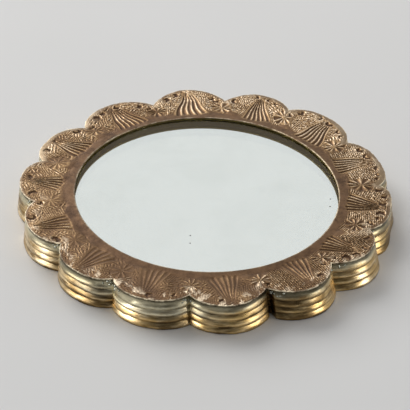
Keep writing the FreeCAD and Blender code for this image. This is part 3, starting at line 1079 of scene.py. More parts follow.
    def ornament(self, angle: Grid, out: Grid) -> tuple[Grid, Grid, Grid]:
        """Work out the whole chased relief.

        Args:
            angle: Clockwise angles from the first notch, in radians.
            out: Distances from the mirror's axis.

        Returns:
            Heights above the plain sheet, how plain the sheet is at each place, and how hatched it is.
        """
        step = SCALLOPS.step
        before = np.floor(angle / step + HAIR)
        lobe = before.astype(int) % SCALLOPS.count
        local = angle - (before + 0.5) * step
        across, along = out * np.sin(local), out * np.cos(local)
        nearest = np.round(angle / step)
        notch = nearest.astype(int) % SCALLOPS.count
        from_notch = angle - nearest * step
        inside = SCALLOPS.radius - np.hypot(across, along - SCALLOPS.centre)
        fan, fan_near = self.fan(across, along, lobe)
        star, star_near = self.star(out * np.sin(from_notch), out * np.cos(from_notch), notch)
        moons, moon_near = self.crescents(across, along, lobe)
        wander = self.hammered(angle, out)
        roll = self.roll_width(angle)
        clear = smooth_step(0.5, 1.0, inside / roll)
        ground = smooth_step(self.border - 1.0, self.border + 0.6, out) * clear
        start = self.border + 0.4 + 12 * wander
        busy = np.maximum(np.maximum(fan_near, star_near), moon_near)
        free = ground * smooth_step(start - 0.6, start + 1.8, out) * (1 - busy)
        fan_ground = smooth_step(self.field_start + 0.2, self.field_start + 1.2, out) * clear
        height = fan * fan_ground * (1 - star_near) * (1 - moon_near) + star * ground * (1 - moon_near)
        height += moons * smooth_step(0.2, 1.0, inside)
        cut = self.hatch_depth * (0.55 + 0.45 * SCALLOPS.shared(self.struck, angle))
        height += cut * self.hatch(across, along, lobe) * free
        return height + wander * ground, 1 - smooth_step(0.0, 0.8, np.maximum(busy * fan_ground, free)), free

    def plain_height(self, angle: Grid, out: Grid, inside: Grid) -> Grid:
        """Shape the sheet without ornament: a raised border with an eased lip, the field and the rolled rim.

        Args:
            angle: Clockwise angles from the first notch, in radians.
            out: Distances from the mirror's axis.
            inside: Distances from the regular rim.

        Returns:
            Heights of the sheet's front.
        """
        share = np.clip((self.border - out) / (self.border - self.sight), 0, 1)
        rise = (self.top - self.ground) * share
        lip = self.lip_drop * np.clip(1 - (out - self.sight) / self.lip_width, 0, 1) ** 2
        drop = self.roll_drops[0] + self.roll_drops[1] * SCALLOPS.shared(self.rolls, angle)
        rim = drop * np.clip(1 - inside / self.roll_width(angle), 0, 1) ** 2
        burr = self.rim_burr * smooth_step(0.45, 0.05, inside)
        return self.ground + rise - lip - rim + burr

    def section(self, reach: Grid, edge: Grid) -> tuple[list[Grid], list[Grid]]:
        """Shape the rings that close the sheet round its rim, underside and collar.

        Args:
            reach: Distance out of the rim at each column.
            edge: Height of the rim's top at each column.

        Returns:
            Distances out and heights, a pair for each ring, from the rim back to the opening.
        """
        level = np.ones_like(reach)
        under = self.ground - self.gauge
        collar = self.sight + self.gauge
        slope = (self.top - self.ground) / (self.border - self.sight)
        tuck = self.top - self.gauge * (1 + slope)
        lip = self.top - self.lip_drop - self.lip_foot
        outs = [reach + aside for aside in self.rim_asides]
        heights = [edge - drop for drop in self.rim_drops] + [under * level]
        for out, height in (
            (self.under_ring, under),
            (self.border, under),
            (collar, tuck),
            (collar, self.collar_foot),
            (self.sight, self.collar_foot),
            (self.sight, lip),
        ):
            outs.append(out * level)
            heights.append(height * level)
        return outs, heights

    def build(self, material: Material) -> None:
        """Make the face as one closed sheet.

        Args:
            material: Its finish.
        """
        columns = self.columns * SCALLOPS.count
        turn = np.arange(columns) / columns * FULL_TURN
        local = SCALLOPS.local(turn)
        nicks = sum(np.sin(waves * turn + phase) for waves, phase in self.nicks)
        worn = self.rim_wear[0] + self.rim_wear[1] * SCALLOPS.shared(self.wear, turn)
        ragged = self.rim_ragged * worn
        reach = SCALLOPS.reach(local) - ragged * (0.5 + nicks / 8)
        plain_rings = self.sight + np.array(self.border_steps)
        share = np.linspace(0, 1, self.field_rings)[:, None]
        chased_rings = self.field_start + (reach - self.field_start)[None, :] * share
        out = np.vstack([np.repeat(plain_rings[:, None], columns, 1), chased_rings])
        angle = np.broadcast_to(turn, out.shape)
        along, across = out * np.cos(local), out * np.sin(local)
        inside = SCALLOPS.radius - np.hypot(across, along - SCALLOPS.centre)
        relief, plain, hatched = self.ornament(angle, out)
        unworked = self.plain_height(angle, out, inside)
        lowest = np.minimum(unworked, self.ground - self.deepest)
        height = np.clip(unworked + relief, lowest, self.top)
        under_out, under_height = self.section(reach, height[-1])
        traits = self.traits(angle, out, inside, relief, plain)
        traits["stipple"] = hatched * (0.3 + 0.7 * SCALLOPS.shared(self.struck, angle) ** 2)
        out = np.vstack([out, *under_out])
        points = SCALLOPS.spots(turn, out, np.vstack([height, *under_height]))
        places = SCALLOPS.stray(points)
        near_opening = smooth_step(*self.slip_fade, out.reshape(-1))
        places[:, 0] += self.sight_slip * (1 - points[:, 0] / self.sight) * near_opening
        mesh = bpy.data.meshes.new("chased_face")
        mesh.from_pydata(list(map(tuple, places * MM)), [], torus_faces(len(out), columns))
        self.dress(mesh, traits, len(under_out))
        outward(mesh)
        smooth(mesh, self.crease)
        seat(new_object("chased_face", mesh, material), "face_plate")

    def traits(self, angle: Grid, out: Grid, inside: Grid, relief: Grid, plain: Grid) -> dict[str, Grid]:
        """Work out what the finish needs to know at each point of the sheet's front.

        Args:
            angle: Clockwise angles from the first notch, in radians.
            out: Distances from the mirror's axis.
            inside: Distances from the regular rim.
            relief: Heights of the ornament.
            plain: How plain the sheet is.

        Returns:
            Values under the names that the finish reads.
        """
        blurred = relief
        for _ in range(self.blurs):
            rows = np.vstack([blurred[:1], blurred, blurred[-1:]])
            blurred = (rows[:-2] + rows[1:-1] + rows[2:]) / 3
            blurred = (np.roll(blurred, 1, 1) + blurred + np.roll(blurred, -1, 1)) / 3
        # pale paints light and shade lobe by lobe; dusk darkens the plain border, with painted shade most on
        # the left lobes.
        level = 0.50 + relief * 0.50 + (relief - blurred) * 1.5 + SCALLOPS.shared(self.pale, angle)
        level = level - SCALLOPS.shared(self.dusk, angle) * plain
        rim = smooth_step(0.55, 0.15, inside)
        lip = smooth_step(0.65, 0.30, out - self.sight)
        wear = SCALLOPS.shared(self.wear, angle)
        by_rim = smooth_step(*self.worn_from, out)
        roll = SCALLOPS.shared(self.rolls, angle) * smooth_step(1.0, 0.55, inside / self.roll_width(angle))
        return {
            "relief": np.clip(level, 0, 1),
            "plain": plain * (0.3 + 0.6 * SCALLOPS.shared(self.struck, angle)),
            "rub": wear * smooth_step(8.0, 1.0, inside) * smooth_step(-0.12, 0.02, relief) * by_rim,
            "roll": 0.8 * roll,
            "edge": np.maximum(rim, 0.45 * lip),
            "collar_face": np.zeros_like(relief),
            "hollow": np.zeros_like(relief),
        }

    def dress(self, mesh: Mesh, traits: dict[str, Grid], rest: int) -> None:
        """Store the finish's values on the front, and plain ones on the rings round the rim, back and collar.

        Args:
            mesh: The sheet's mesh.
            traits: Values for the front.
            rest: Number of rings after those of the front.
        """
        below = {"relief": 0.45, "plain": 0.5}
        # Rings of the section that a value fills: the cut rim, the inside of the shell and the collar's lip.
        marked = {"edge": slice(0, 2), "hollow": slice(2, 7), "collar_face": slice(7, None)}
        for name, values in traits.items():
            rows = np.full((rest, values.shape[1]), below.get(name, 0.0))
            if name in marked:
                rows[marked[name]] = 1.0
            carry(mesh, name, np.vstack([values, rows]))


@dataclass
class ReededBand:
    """Side strip, grown by a rule: reeds in its section, bent round each lobe and folded at the notches.

    Lines and edges of its solder, painted shade and wash are shares of its height. Leans and the solder's run
    are clockwise angles from the first notch, in radians. The stains and painted shade have a value for each
    half of a lobe and the painted gold sheen one for each lobe, clockwise. The gap, where the strip's two
    ends meet, is given in lobes.
    """

    neck: float = 1.2
    reeds: int = 4
    reed_rise: float = 0.50
    crest_at: float = 0.34
    slope_bend: float = 1.35
    turn_bend: float = 2.2
    line_at: float = 0.66
    line_half: float = 0.11
    line_breaks: Span = (-0.5, 0.4)
    flare: float = 1.2
    flare_bend: float = 1.6
    overhang: float = 0.3
    gauge: float = 0.5
    foot_lip: float = 0.22
    foot_lip_height: float = 0.45
    foot_crinkle: float = 0.55
    crinkle_waves: float = 16.0
    crinkle_seed: float = 23.0
    waver: float = 0.20
    slow_waves: float = 2.6
    slow_seed: float = 3.0
    slow_twist: float = 0.35
    slow_lift: float = 9.0
    quick_waves: float = 9.0
    quick_seed: float = 11.0
    solder_line: float = 0.84
    solder_swing: float = 0.11
    solder_lean: float = 5.06
    solder_edge: Span = (-0.02, 0.10)
    solder_fill: float = 0.7
    edge_ragged: float = 0.02
    wash_ragged: float = 0.05
    shade_lean: float = 2.82
    shade_round: Shares = (0.2, 0.9, 0.0, 0.85)
    shade_wide: Span = (0.80, 0.90)
    shade_narrow: Span = (0.915, 0.965)
    wash_line: float = 0.44
    wash_lean: float = 3.82
    wash_round: Span = (0.90, 0.985)
    wash_edge: Span = (-0.06, 0.06)
    run_at: float = 3.97
    run_width: float = 0.11
    run_drop: float = 0.36
    columns: int = 56
    outer_rows: int = 54
    inner_rows: int = 12
    merge: float = 0.002
    crease: float = 32.0
    # Stains and painted shade by half lobe.
    stains_and_shade: Shares = (
        0.5, 0.5, 0.5, 0.5, 0.5, 0.5, 0.6, 0.6, 0.8, 0.8, 0.0, 0.2, 0.4, 0.9,
        0.3, 0.4, 0.6, 0.0, 1.0, 0.85, 0.4, 0.0, 0.6, 0.5, 0.5, 0.5, 0.5, 0.5,
    )
    # Painted gold sheen by lobe, standing in for warmer reflections.
    painted_gold_sheens: Shares = (0.3, 0.3, 0.3, 0.6, 1.0, 0.35, 0.8, 0.75, 0.45, 0.45, 0.0, 0.2, 0.3, 0.3)
    gap_start: float = 6.935
    gap_end: float = 6.99
    gap_depth: float = 3.2
    gap_shade: float = 0.40
    height: float = field(init=False)

    def __post_init__(self) -> None:
        """Take the strip's height from its solid."""
        self.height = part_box("side_band")[1].z / MM

    def inputs(self) -> Sizes:
        """Gather the sizes that the tree takes.

        Returns:
            Counts, shares and angles, and lengths in metres, under the names of the tree's inputs.
        """
        counts = ("outer_rows", "inner_rows")
        leans = ("solder_lean", "shade_lean", "wash_lean", "run_at", "run_width")
        shares = ("solder_line", "solder_swing", "wash_line", "run_drop")
        lengths = ("height", "reed_rise", "flare", "gauge", "foot_lip", "foot_crinkle", "waver")
        sizes = {
            "Lobe Count": SCALLOPS.count,
            "Columns per Lobe": self.columns,
            "Reed Count": self.reeds,
            "Lobe Centre": SCALLOPS.centre * MM,
            "Lobe Radius": (SCALLOPS.radius - self.overhang) * MM,
            "Reeds Height": (self.height - self.neck) * MM,
        }
        for names, unit in ((counts, 1), (leans, 1), (shares, 1), (lengths, MM)):
            for name in names:
                sizes[name.replace("_", " ").title()] = getattr(self, name) * unit
        return sizes

    def tree(self) -> tuple[Graph, Node]:
        """Build the tree that bends the reeded section round the lobes.

        Returns:
            The tree's graph, and the node that gives the bent strip.
        """
        grow, size = new_tree("reeded_band", self.inputs())
        # A grid of one column after another: its rows go up the outside, down the inside and close the foot.
        around = size["Lobe Count"] * size["Columns per Lobe"]
        rows = size["Outer Rows"] + size["Inner Rows"]
        grid = grow.add("GeometryNodeMeshGrid", {
            "Size X": 1.0,
            "Size Y": 1.0,
            "Vertices X": around + 1,
            "Vertices Y": rows + 1,
        })
        place = grow.add("ShaderNodeSeparateXYZ", {0: grow.add("GeometryNodeInputPosition")})
        column = grow.math("ROUND", (grow.out(place, 0) + 0.5) * around)
        row = grow.math("ROUND", (grow.out(place, 1) + 0.5) * rows)
        up = row / (size["Outer Rows"] - 1)
        back = row - size["Outer Rows"]
        down = 1 - back / (size["Inner Rows"] - 1)
        inner = grow.math("GREATER_THAN", back, -0.5) * grow.math("LESS_THAN", row, rows)
        outer = 1 - inner
        closing = grow.math("GREATER_THAN", row, rows - 0.5)
        level = (up * outer + down * inner) * (1 - closing)
        height = level * size["Height"]
        turn = column * FULL_TURN / around
        # The reeds' section, with the wander of the hand that drew the strip.
        slow = self.wavering(grow, turn, self.slow_waves, level * self.slow_twist + self.slow_seed)
        quick = self.wavering(grow, turn, self.quick_waves, self.quick_seed)
        lift = slow * (level * (1 - level)) * (size["Waver"] * self.slow_lift)
        section = (height + lift) / size["Reeds Height"]
        below = grow.math("SUBTRACT", 1, section, clamp=True)
        lane = grow.math("FRACT", section * size["Reed Count"])
        slope = lane.span(self.crest_at, 1) ** self.slope_bend
        turned = lane.span(self.crest_at, 0) ** self.turn_bend
        crest = (1 - slope - turned) * grow.math("GREATER_THAN", below, 0)
        # Solder fills the reeds under the rim, deeper on one side and in one run.
        swing = grow.math("MAXIMUM", grow.math("COSINE", turn - size["Solder Lean"]), 0) ** 2
        aside = (turn - size["Run At"]) / size["Run Width"]
        run = grow.math("SUBTRACT", 1, aside * aside, clamp=True)
        line = size["Solder Line"] - swing * size["Solder Swing"] - run * size["Run Drop"]
        solder = quick * self.edge_ragged + (level - line)
        filled = solder.span(*self.solder_edge)
        bared = outer * (1 - filled)
        # How far each place stands out from the lobe's arc.
        lip = grow.math("SUBTRACT", 1, height / (self.foot_lip_height * MM), clamp=True)
        crinkle = self.wavering(grow, turn, self.crinkle_waves, self.crinkle_seed) * lip
        stand = crest * size["Reed Rise"] * (filled * -self.solder_fill + 1)
        stand = below**self.flare_bend * size["Flare"] + stand
        stand = lip * size["Foot Lip"] + stand
        stand = grow.math("MINIMUM", crinkle, 0) * size["Foot Crinkle"] + stand
        stand = quick * level * size["Waver"] + stand
        stand = stand - inner * size["Gauge"]
        # The place itself, on the arc about the lobe's own centre.
        half = math.pi / size["Lobe Count"]
        local = grow.math("FLOORED_MODULO", turn, half * 2) - half
        across = size["Lobe Centre"] * grow.math("SINE", local)
        arc = size["Lobe Radius"] + stand
        chord = grow.math("SQRT", arc * arc - across * across)
        reach = size["Lobe Centre"] * grow.math("COSINE", local) + chord
        axis = math.pi / 2 - (turn - half)
        spot = grow.add("ShaderNodeCombineXYZ", {
            "X": reach * grow.math("COSINE", axis),
            "Y": reach * grow.math("SINE", axis),
            "Z": height,
        })
        # What the finish reads.
        # Painted shade: near and dim darken the neck under the rim most on the lobes that face the camera,
        # and the narrow band paints the shade under the rim's overhang.
        near = grow.math("COSINE", turn - size["Shade Lean"]).span(*self.shade_round)
        dim = (quick * self.edge_ragged + level).span(*self.shade_wide)
        washed = grow.math("COSINE", turn - size["Wash Lean"]).span(*self.wash_round)
        above = quick * self.wash_ragged + level - size["Wash Line"]
        scored = grow.math("ABSOLUTE", lane - self.line_at).span(0.0, self.line_half, 1.0, 0.0)
        traits = {
            "line": scored * bared * slow.span(*self.line_breaks),
            "wash": washed * above.span(*self.wash_edge),
            "groove": (1 - crest) * bared,
            "solder": solder,
            "shade": grow.math("MAXIMUM", level.span(*self.shade_narrow), dim * near),
            "foot": lip,
        }
        shape = grid
        for name, value in traits.items():
            feeds = {"Geometry": shape, "Name": name, "Value": value}
            shape = grow.add("GeometryNodeStoreNamedAttribute", feeds, data_type="FLOAT", domain="POINT")
        shape = grow.add("GeometryNodeSetPosition", {"Geometry": shape, "Position": spot})
        return grow, grow.add("GeometryNodeMergeByDistance", {"Geometry": shape, "Distance": self.merge * MM})

    @staticmethod
    def wavering(grow: Graph, turn: Wire, waves: float, seed: object) -> Wire:
        """Add a smooth wander along the strip that meets itself after a turn.

        Args:
            grow: The tree's graph.
            turn: Angle round the mirror.
            waves: How quickly it wanders.
            seed: A number that makes one wander unlike another.

        Returns:
            The wander, mostly between -1 and 1.
        """
        circle = grow.add("ShaderNodeCombineXYZ", {
            "X": grow.math("COSINE", turn),
            "Y": grow.math("SINE", turn),
            "Z": seed,
        })
        noise = grow.add("ShaderNodeTexNoise", {"Vector": circle, "Scale": waves, "Detail": 2.0})
        return grow.out(noise) * 4 - 2

    def build(self, material: Material) -> None:
        """Make the strip.

        Args:
            material: Its finish.
        """
        piece = new_object("reeded_band", bpy.data.meshes.new("reeded_band"), material)
        grown(piece, *self.tree(), self.inputs())
        mesh = piece.data
        angle = SCALLOPS.place(points_of(mesh)) * SCALLOPS.step
        for name, shares in (("dull", self.stains_and_shade), ("painted_gold_sheen", self.painted_gold_sheens)):
            carry(mesh, name, SCALLOPS.shared(shares, angle))
        move_points(mesh, SCALLOPS.stray(self.parted(mesh)))
        outward(mesh)
        smooth(mesh, self.crease)
        seat(piece, "side_band")

    def parted(self, mesh: Mesh) -> Grid:
        """Draw the strip in beside the notch where its two ends meet, and paint shade into the gap there.

        Args:
            mesh: The strip's mesh.

        Returns:
            The strip's points with the open joint.
        """
        points = points_of(mesh)
        place = SCALLOPS.place(points)
        parted = (place > self.gap_start) & (place < self.gap_end)
        out = np.hypot(points[:, 0], points[:, 1])
        points[:, :2] *= np.where(parted, 1 - self.gap_depth / out, 1)[:, None]
        # Painted shade in the gap: its foot and shade values darken it.
        for name in ("foot", "shade"):
            layer = mesh.attributes[name].data
            black = np.zeros(len(points), np.float32)
            layer.foreach_get("value", black)
            layer.foreach_set("value", np.where(parted, self.gap_shade, black).astype(np.float32))
        return points


@dataclass
class SolderSeam:
    """Lumps of solder on the strip's neck under the face, most of them beside the notches."""

    lumps: tuple[int, ...] = (2, 2, 3, 3, 4, 4, 5, 6, 8, 12, 5, 5, 3, 2)
    spread: float = 0.09
    drop: Span = (0.5, 2.6)
    overhang: float = 0.3
    radius: float = 0.50
    least: tuple[float, float, float] = (0.6, 0.6, 0.5)
    most: tuple[float, float, float] = (1.7, 1.3, 0.9)
    rounds: int = 2
    seed: int = 11

    def inputs(self) -> Sizes:
        """Return the sizes that the tree takes, under the names of its inputs."""
        return {"Lump Radius": self.radius * MM, "Rounds": self.rounds, "Seed": self.seed}

    def places(self) -> Grid:
        """Scatter the lumps about the notches.

        Returns:
            Places in millimetres, one row each.
        """
        chance = np.random.default_rng(self.seed)
        notch = np.repeat(np.arange(SCALLOPS.count), self.lumps)
        turn = (notch + chance.normal(0, self.spread, len(notch))) * SCALLOPS.step
        reach = SCALLOPS.reach(SCALLOPS.local(turn), -self.overhang)
        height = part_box("side_band")[1].z / MM - chance.uniform(*self.drop, len(notch))
        return SCALLOPS.stray(SCALLOPS.spots(turn, reach, height))

    def tree(self) -> tuple[Graph, Node]:
        """Build the tree that sets a lump at each point.

        Returns:
            The tree's graph, and the node that gives the lumps.
        """
        grow, size = new_tree("solder_lumps", self.inputs(), takes_shape=True)
        feeds = {"Radius": size["Lump Radius"], "Subdivisions": size["Rounds"]}
        lump = grow.add("GeometryNodeMeshIcoSphere", feeds)
        spans = {"turn": ((0, 0, 0), (FULL_TURN, FULL_TURN, FULL_TURN)), "scale": (self.least, self.most)}
        chances = {}
        for name, (least, most) in spans.items():
            feeds = {0: least, 1: most, "Seed": size["Seed"]}
            chances[name] = grow.add("FunctionNodeRandomValue", feeds, data_type="FLOAT_VECTOR")
        return grow, grow.add("GeometryNodeInstanceOnPoints", {
            "Points": size["Geometry"],
            "Instance": lump,
            "Rotation": grow.add("FunctionNodeEulerToRotation", {0: chances["turn"]}),
            "Scale": chances["scale"],
        })

    def build(self, material: Material) -> None:
        """Make the lumps.

        Args:
            material: Their finish.
        """
        mesh = bpy.data.meshes.new("solder_lumps")
        mesh.from_pydata(list(map(tuple, self.places() * MM)), [], [])
        piece = new_object("solder_lumps", mesh, material)
        grown(piece, *self.tree(), self.inputs())
        smooth(piece.data, NO_CREASE)
        seat(piece, None)


@dataclass
class GlassStack:
    """Glass with two specks on it, and the silvering and the card behind it."""

    lift: float = 0.02
    arris: float = 0.5
    columns: int = 160
    crease: float = 25.0
    speck_places: tuple[Span, ...] = ((-10.05, -27.1), (48.55, -7.7))
    speck_radius: float = 0.32
    speck_height: float = 0.12

    def turned(self, name: str, profile: Sequence[Span]) -> Mesh:
        """Turn a closed mesh about Z.

        Args:
            name: The mesh's name.
            profile: Distances from the axis and heights, the first and the last on the axis.

        Returns:
            The mesh.
        """
        edit = bmesh.new()
        poles = [edit.verts.new((0, 0, profile[end][1] * MM)) for end in (0, -1)]
        rings = []
        for out, height in profile[1:-1]:
            ring = []
            for column in range(self.columns):
                angle = column / self.columns * FULL_TURN
                x, y = out * MM * math.cos(angle), out * MM * math.sin(angle)
                ring.append(edit.verts.new((x, y, height * MM)))
            rings.append(ring)
        for column in range(self.columns):
            turn = (column + 1) % self.columns
            edit.faces.new((poles[0], rings[0][turn], rings[0][column]))
            edit.faces.new((poles[1], rings[-1][column], rings[-1][turn]))
            for lower, upper in zip(rings, rings[1:]):
                edit.faces.new((lower[column], lower[turn], upper[turn], upper[column]))
        mesh = bpy.data.meshes.new(name)
        edit.to_mesh(mesh)
        edit.free()
        outward(mesh)
        return mesh

    def disc(self, name: str, node: str) -> Mesh:
        """Make a disc in the place of a solid, with its edges eased and its back lifted a little.

        Args:
            name: The mesh's name.
            node: The solid.

        Returns:
            The mesh.
        """
        low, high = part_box(node)
        out, bottom, top = high.x / MM, low.z / MM + self.lift, high.z / MM
        mesh = self.turned(name, (
            (0, bottom),
            (out - self.arris, bottom),
            (out, bottom + self.arris),
            (out, top - self.arris),
            (out - self.arris, top),
            (0, top),
        ))
        smooth(mesh, self.crease)
        return mesh

    def specks(self) -> Mesh:
        """Lay the dried drops on the glass.

        Returns:
            Their mesh.
        """
        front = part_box("mirror_glass")[1].z / MM
        flat = (self.speck_radius * MM, self.speck_radius * MM, self.speck_height * MM, 1)
        edit = bmesh.new()
        for x, y in self.speck_places:
            spot = Matrix.Translation(Vector((x, y, front)) * MM) @ Matrix.Diagonal(flat)
            bmesh.ops.create_icosphere(edit, subdivisions=2, radius=1, matrix=spot)
        mesh = bpy.data.meshes.new("glass_specks")
        edit.to_mesh(mesh)
        edit.free()
        smooth(mesh, NO_CREASE)
        return mesh

    def build(self) -> None:
        """Make the glass and the specks, and dress the layers that keep their solids."""
        glass = new_object("glass_disc", self.disc("glass_disc", "mirror_glass"), ClearGlass().make())
        seat(glass, "mirror_glass")
        for node, finish in (("mirror_silvering", Silvering()), ("packing_card", GreyCard())):
            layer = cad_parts[node].data
            layer.materials.clear()
            layer.materials.append(finish.make())
            LOG.info("%s: solid kept, new finish", node)
        seat(new_object("glass_specks", self.specks(), DarkSpeck().make()), None)


@dataclass
class BackFittings:
    """Board, clips and hanger at the back: the solids' own shapes with eased edges and real finishes."""

    board_ease: float = 0.35
    clip_ease: float = 0.12
    strap_ease: float = 0.12
    ring_ease: float = 0.38
    brad_ease: float = 0.15
    segments: int = 3
    crease: float = 40.0
    merge: float = 0.001
    clip_count: int = 8

    def inputs(self) -> Sizes:
        """Return the sizes that the clips' tree takes, under the names of its inputs."""
        return {"Clip Count": self.clip_count}

    def first_clip(self, piece: Piece) -> None:
        """Leave only the clip that stands at the top.

        Args:
            piece: The piece with all the clips.
        """
        edit = bmesh.new()
        edit.from_mesh(piece.data)
        half = math.pi / self.clip_count
        others = [vert for vert in edit.verts if abs(math.atan2(vert.co.x, vert.co.y)) > half]
        bmesh.ops.delete(edit, geom=others, context="VERTS")
        edit.to_mesh(piece.data)
        edit.free()

    def clip_tree(self) -> tuple[Graph, Node]:
        """Build the tree that repeats a clip round the glass.

        Returns:
            The tree's graph, and the node that gives the clips.
        """
        grow, size = new_tree("clips_round", self.inputs(), takes_shape=True)
        spots = grow.add("GeometryNodeMeshLine", {"Count": size["Clip Count"], "Offset": (0, 0, 0)})
        turn = grow.out(grow.add("GeometryNodeInputIndex")) * (FULL_TURN / size["Clip Count"])
        about_z = grow.add("ShaderNodeCombineXYZ", {"Z": turn})
        return grow, grow.add("GeometryNodeInstanceOnPoints", {
            "Points": spots,
            "Instance": size["Geometry"],
            "Rotation": grow.add("FunctionNodeEulerToRotation", {0: about_z}),
        })

    def eased(self, name: str, node: str, ease: float, material: Material) -> Piece:
        """Copy a solid and round its edges.

        Args:
            name: The new piece's name.
            node: The solid that it is copied from.
            ease: Width of the rounding, in millimetres.
            material: Its finish.

        Returns:
            The piece.
        """
        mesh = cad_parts[node].data.copy()
        mesh.name = name
        outward(mesh, self.merge)
        piece = new_object(name, mesh, material)
        bevel = piece.modifiers.new("ease", "BEVEL")
        bevel.width = ease * MM
        bevel.segments = self.segments
        bevel.limit_method = "ANGLE"
        bevel.angle_limit = math.radians(self.crease)
        smooth(baked(piece), self.crease)
        return piece

    def build(self) -> None:
        """Make the fittings."""
        clips, hanger = DullBrass(Slot.CLIPS).make(), DullBrass(Slot.HANGER).make()
        for name, node, ease, material, slot, body in (
            ("back_board", "backing_board", self.board_ease, BoardWood().make(), Slot.BOARD, BODY),
            ("bent_clips", "retaining_clips", self.clip_ease, clips, Slot.CLIPS, BODY),
            ("rolled_strap", "hanger_strap", self.strap_ease, hanger, Slot.HANGER, BODY),
            ("brad_heads", "strap_brads", self.brad_ease, hanger, Slot.HANGER, BODY),
            ("swing_ring", "hanger_ring", self.ring_ease, hanger, Slot.HANGER, RING_BODY),
        ):
            piece = self.eased(name, node, ease, material)
            if slot is Slot.CLIPS:
                self.first_clip(piece)
                grown(piece, *self.clip_tree(), self.inputs())
                smooth(piece.data, self.crease)
            seat(piece, node, body)


@dataclass(frozen=True)
class Lamp:
    """Soft lamp that points at the mirror, placed in millimetres from it as the camera sees it.

    A lamp that is only for gloss shows in polished metal and glass, and lights no matt surface.
    """

    name: str
    left: float
    ahead: float
    up: float
    width: float
    tall: float
    watts: float
    tint: tuple[float, float, float] = (1.0, 0.98, 0.95)
    only_gloss: bool = True

    def hang(self, left: Vector, ahead: Vector) -> None:
        """Hang the lamp.

        Args:
            left: Direction to the camera's left, level.
            ahead: Direction away from the camera, level.
        """
        data = bpy.data.lights.new(self.name, "AREA")
        data.shape = "RECTANGLE"
        data.size, data.size_y = self.width * MM, self.tall * MM
        data.energy = self.watts
        data.color = self.tint
        place = left * self.left + ahead * self.ahead + Vector((0, 0, self.up))
        lamp = bpy.data.objects.new(self.name, data)
        lamp.location = place * MM
        lamp.rotation_euler = place.to_track_quat("Z", "Y").to_euler()
        lamp.visible_diffuse = not self.only_gloss
        bpy.context.scene.collection.objects.link(lamp)


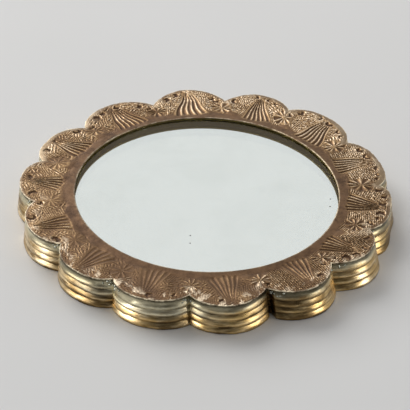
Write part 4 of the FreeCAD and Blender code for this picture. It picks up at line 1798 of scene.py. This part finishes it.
@dataclass
class Studio:
    """Pale floor, soft light and the camera, placed as the photograph shows them.

    Angles are in degrees and lengths in millimetres. The image's pixels are counted from its top left corner.
    The sky has tones at places from 0, opposite to where it leans, to 1.
    """

    elevation: float = 35.33
    azimuth: float = -8.37
    roll: float = 1.78
    distance: float = 1480.0
    focal_px: float = 3725.0
    image_px: float = 410.0
    aim_px: Span = (206.96, 191.9)
    aim_height: float = 13.4
    sensor: float = 36.0
    sight_range: Span = (50.0, 20000.0)
    floor_half: float = 4000.0
    floor_drop: float = 0.03
    sky_lean: tuple[float, float, float] = (0.10, 0.80, 0.60)
    sky_tones: tuple[Span, ...] = (
        (0.0, 0.03), (0.28, 0.05), (0.52, 0.15), (0.76, 0.62), (0.90, 0.80), (1.0, 0.81),
    )
    lamps: tuple[Lamp, ...] = (
        Lamp("key", 970, 1200, 1160, 1600, 1280, 27.6, (1.0, 0.99, 0.97), only_gloss=False),
        Lamp("left_card", 815, -330, 200, 560, 390, 6.6),
        Lamp("right_card", -860, -300, 330, 460, 660, 5.6),
    )

    def axes(self) -> tuple[Vector, Vector, Vector]:
        """Work out how the camera stands before it is rolled.

        Returns:
            Its right, up and backward directions.
        """
        turn, tilt = math.radians(self.azimuth), math.radians(self.elevation)
        back = Vector((math.sin(turn) * math.cos(tilt), -math.cos(turn) * math.cos(tilt), math.sin(tilt)))
        right = Vector((math.cos(turn), math.sin(turn), 0))
        return right, back.cross(right), back

    def camera(self) -> None:
        """Make the camera."""
        right, up, back = self.axes()
        turn = Matrix.Rotation(math.radians(self.roll), 3, back)
        right, up = turn @ right, turn @ up
        scale = self.distance / self.focal_px
        across = (self.image_px / 2 - self.aim_px[0]) * scale
        along = (self.aim_px[1] - self.image_px / 2) * scale
        aim = Vector((0, 0, self.aim_height)) + right * across + up * along
        data = bpy.data.cameras.new("camera")
        data.sensor_width = self.sensor
        data.lens = self.focal_px / self.image_px * self.sensor
        data.clip_start, data.clip_end = (limit * MM for limit in self.sight_range)
        camera = bpy.data.objects.new("camera", data)
        stance = Matrix((right, up, back)).transposed().to_4x4()
        camera.matrix_world = Matrix.Translation((aim + back * self.distance) * MM) @ stance
        bpy.context.scene.collection.objects.link(camera)
        bpy.context.scene.camera = camera

    def floor(self) -> None:
        """Lay the pale floor."""
        half, low = self.floor_half * MM, -self.floor_drop * MM
        mesh = bpy.data.meshes.new("floor")
        corners = [(-half, -half, low), (half, -half, low), (half, half, low), (-half, half, low)]
        mesh.from_pydata(corners, [], [(0, 1, 2, 3)])
        floor = new_object("floor", mesh, PalePaper().make())

    def sky(self) -> None:
        """Fill the room with soft light, brighter behind the mirror than behind the camera."""
        world = bpy.data.worlds.new("room")
        bpy.context.scene.world = world
        world.use_nodes = True
        room = Graph(world.node_tree)
        way = room.out(room.add("ShaderNodeTexCoord"), "Generated")
        lean = room.add("ShaderNodeVectorMath", {0: way, 1: self.sky_lean}, operation="DOT_PRODUCT")
        stops = [(place, (tone, tone, tone, 1)) for place, tone in self.sky_tones]
        light = room.ramp(room.out(lean, "Value").span(-1, 1), stops)
        glow = room.add("ShaderNodeBackground", {"Color": light, "Strength": 1.0})
        room.add("ShaderNodeOutputWorld", {"Surface": glow})

    def build(self) -> None:
        """Set the stage."""
        scene = bpy.context.scene
        scene.view_settings.view_transform = "Standard"
        scene.view_settings.look = "None"
        self.camera()
        self.floor()
        self.sky()
        right, _, back = self.axes()
        ahead = Vector((-back.x, -back.y, 0)).normalized()
        left = Vector((-right.x, -right.y, 0))
        for lamp in self.lamps:
            lamp.hang(left, ahead)


def main() -> None:
    """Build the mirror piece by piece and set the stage."""
    logging.basicConfig(level=logging.INFO, format="%(name)s %(message)s")
    ChasedFace().build(ChasedBrass().make())
    ReededBand().build(ReededBrass().make())
    SolderSeam().build(SoftSolder().make())
    GlassStack().build()
    BackFittings().build()
    Studio().build()


if __name__ == "__main__":
    main()
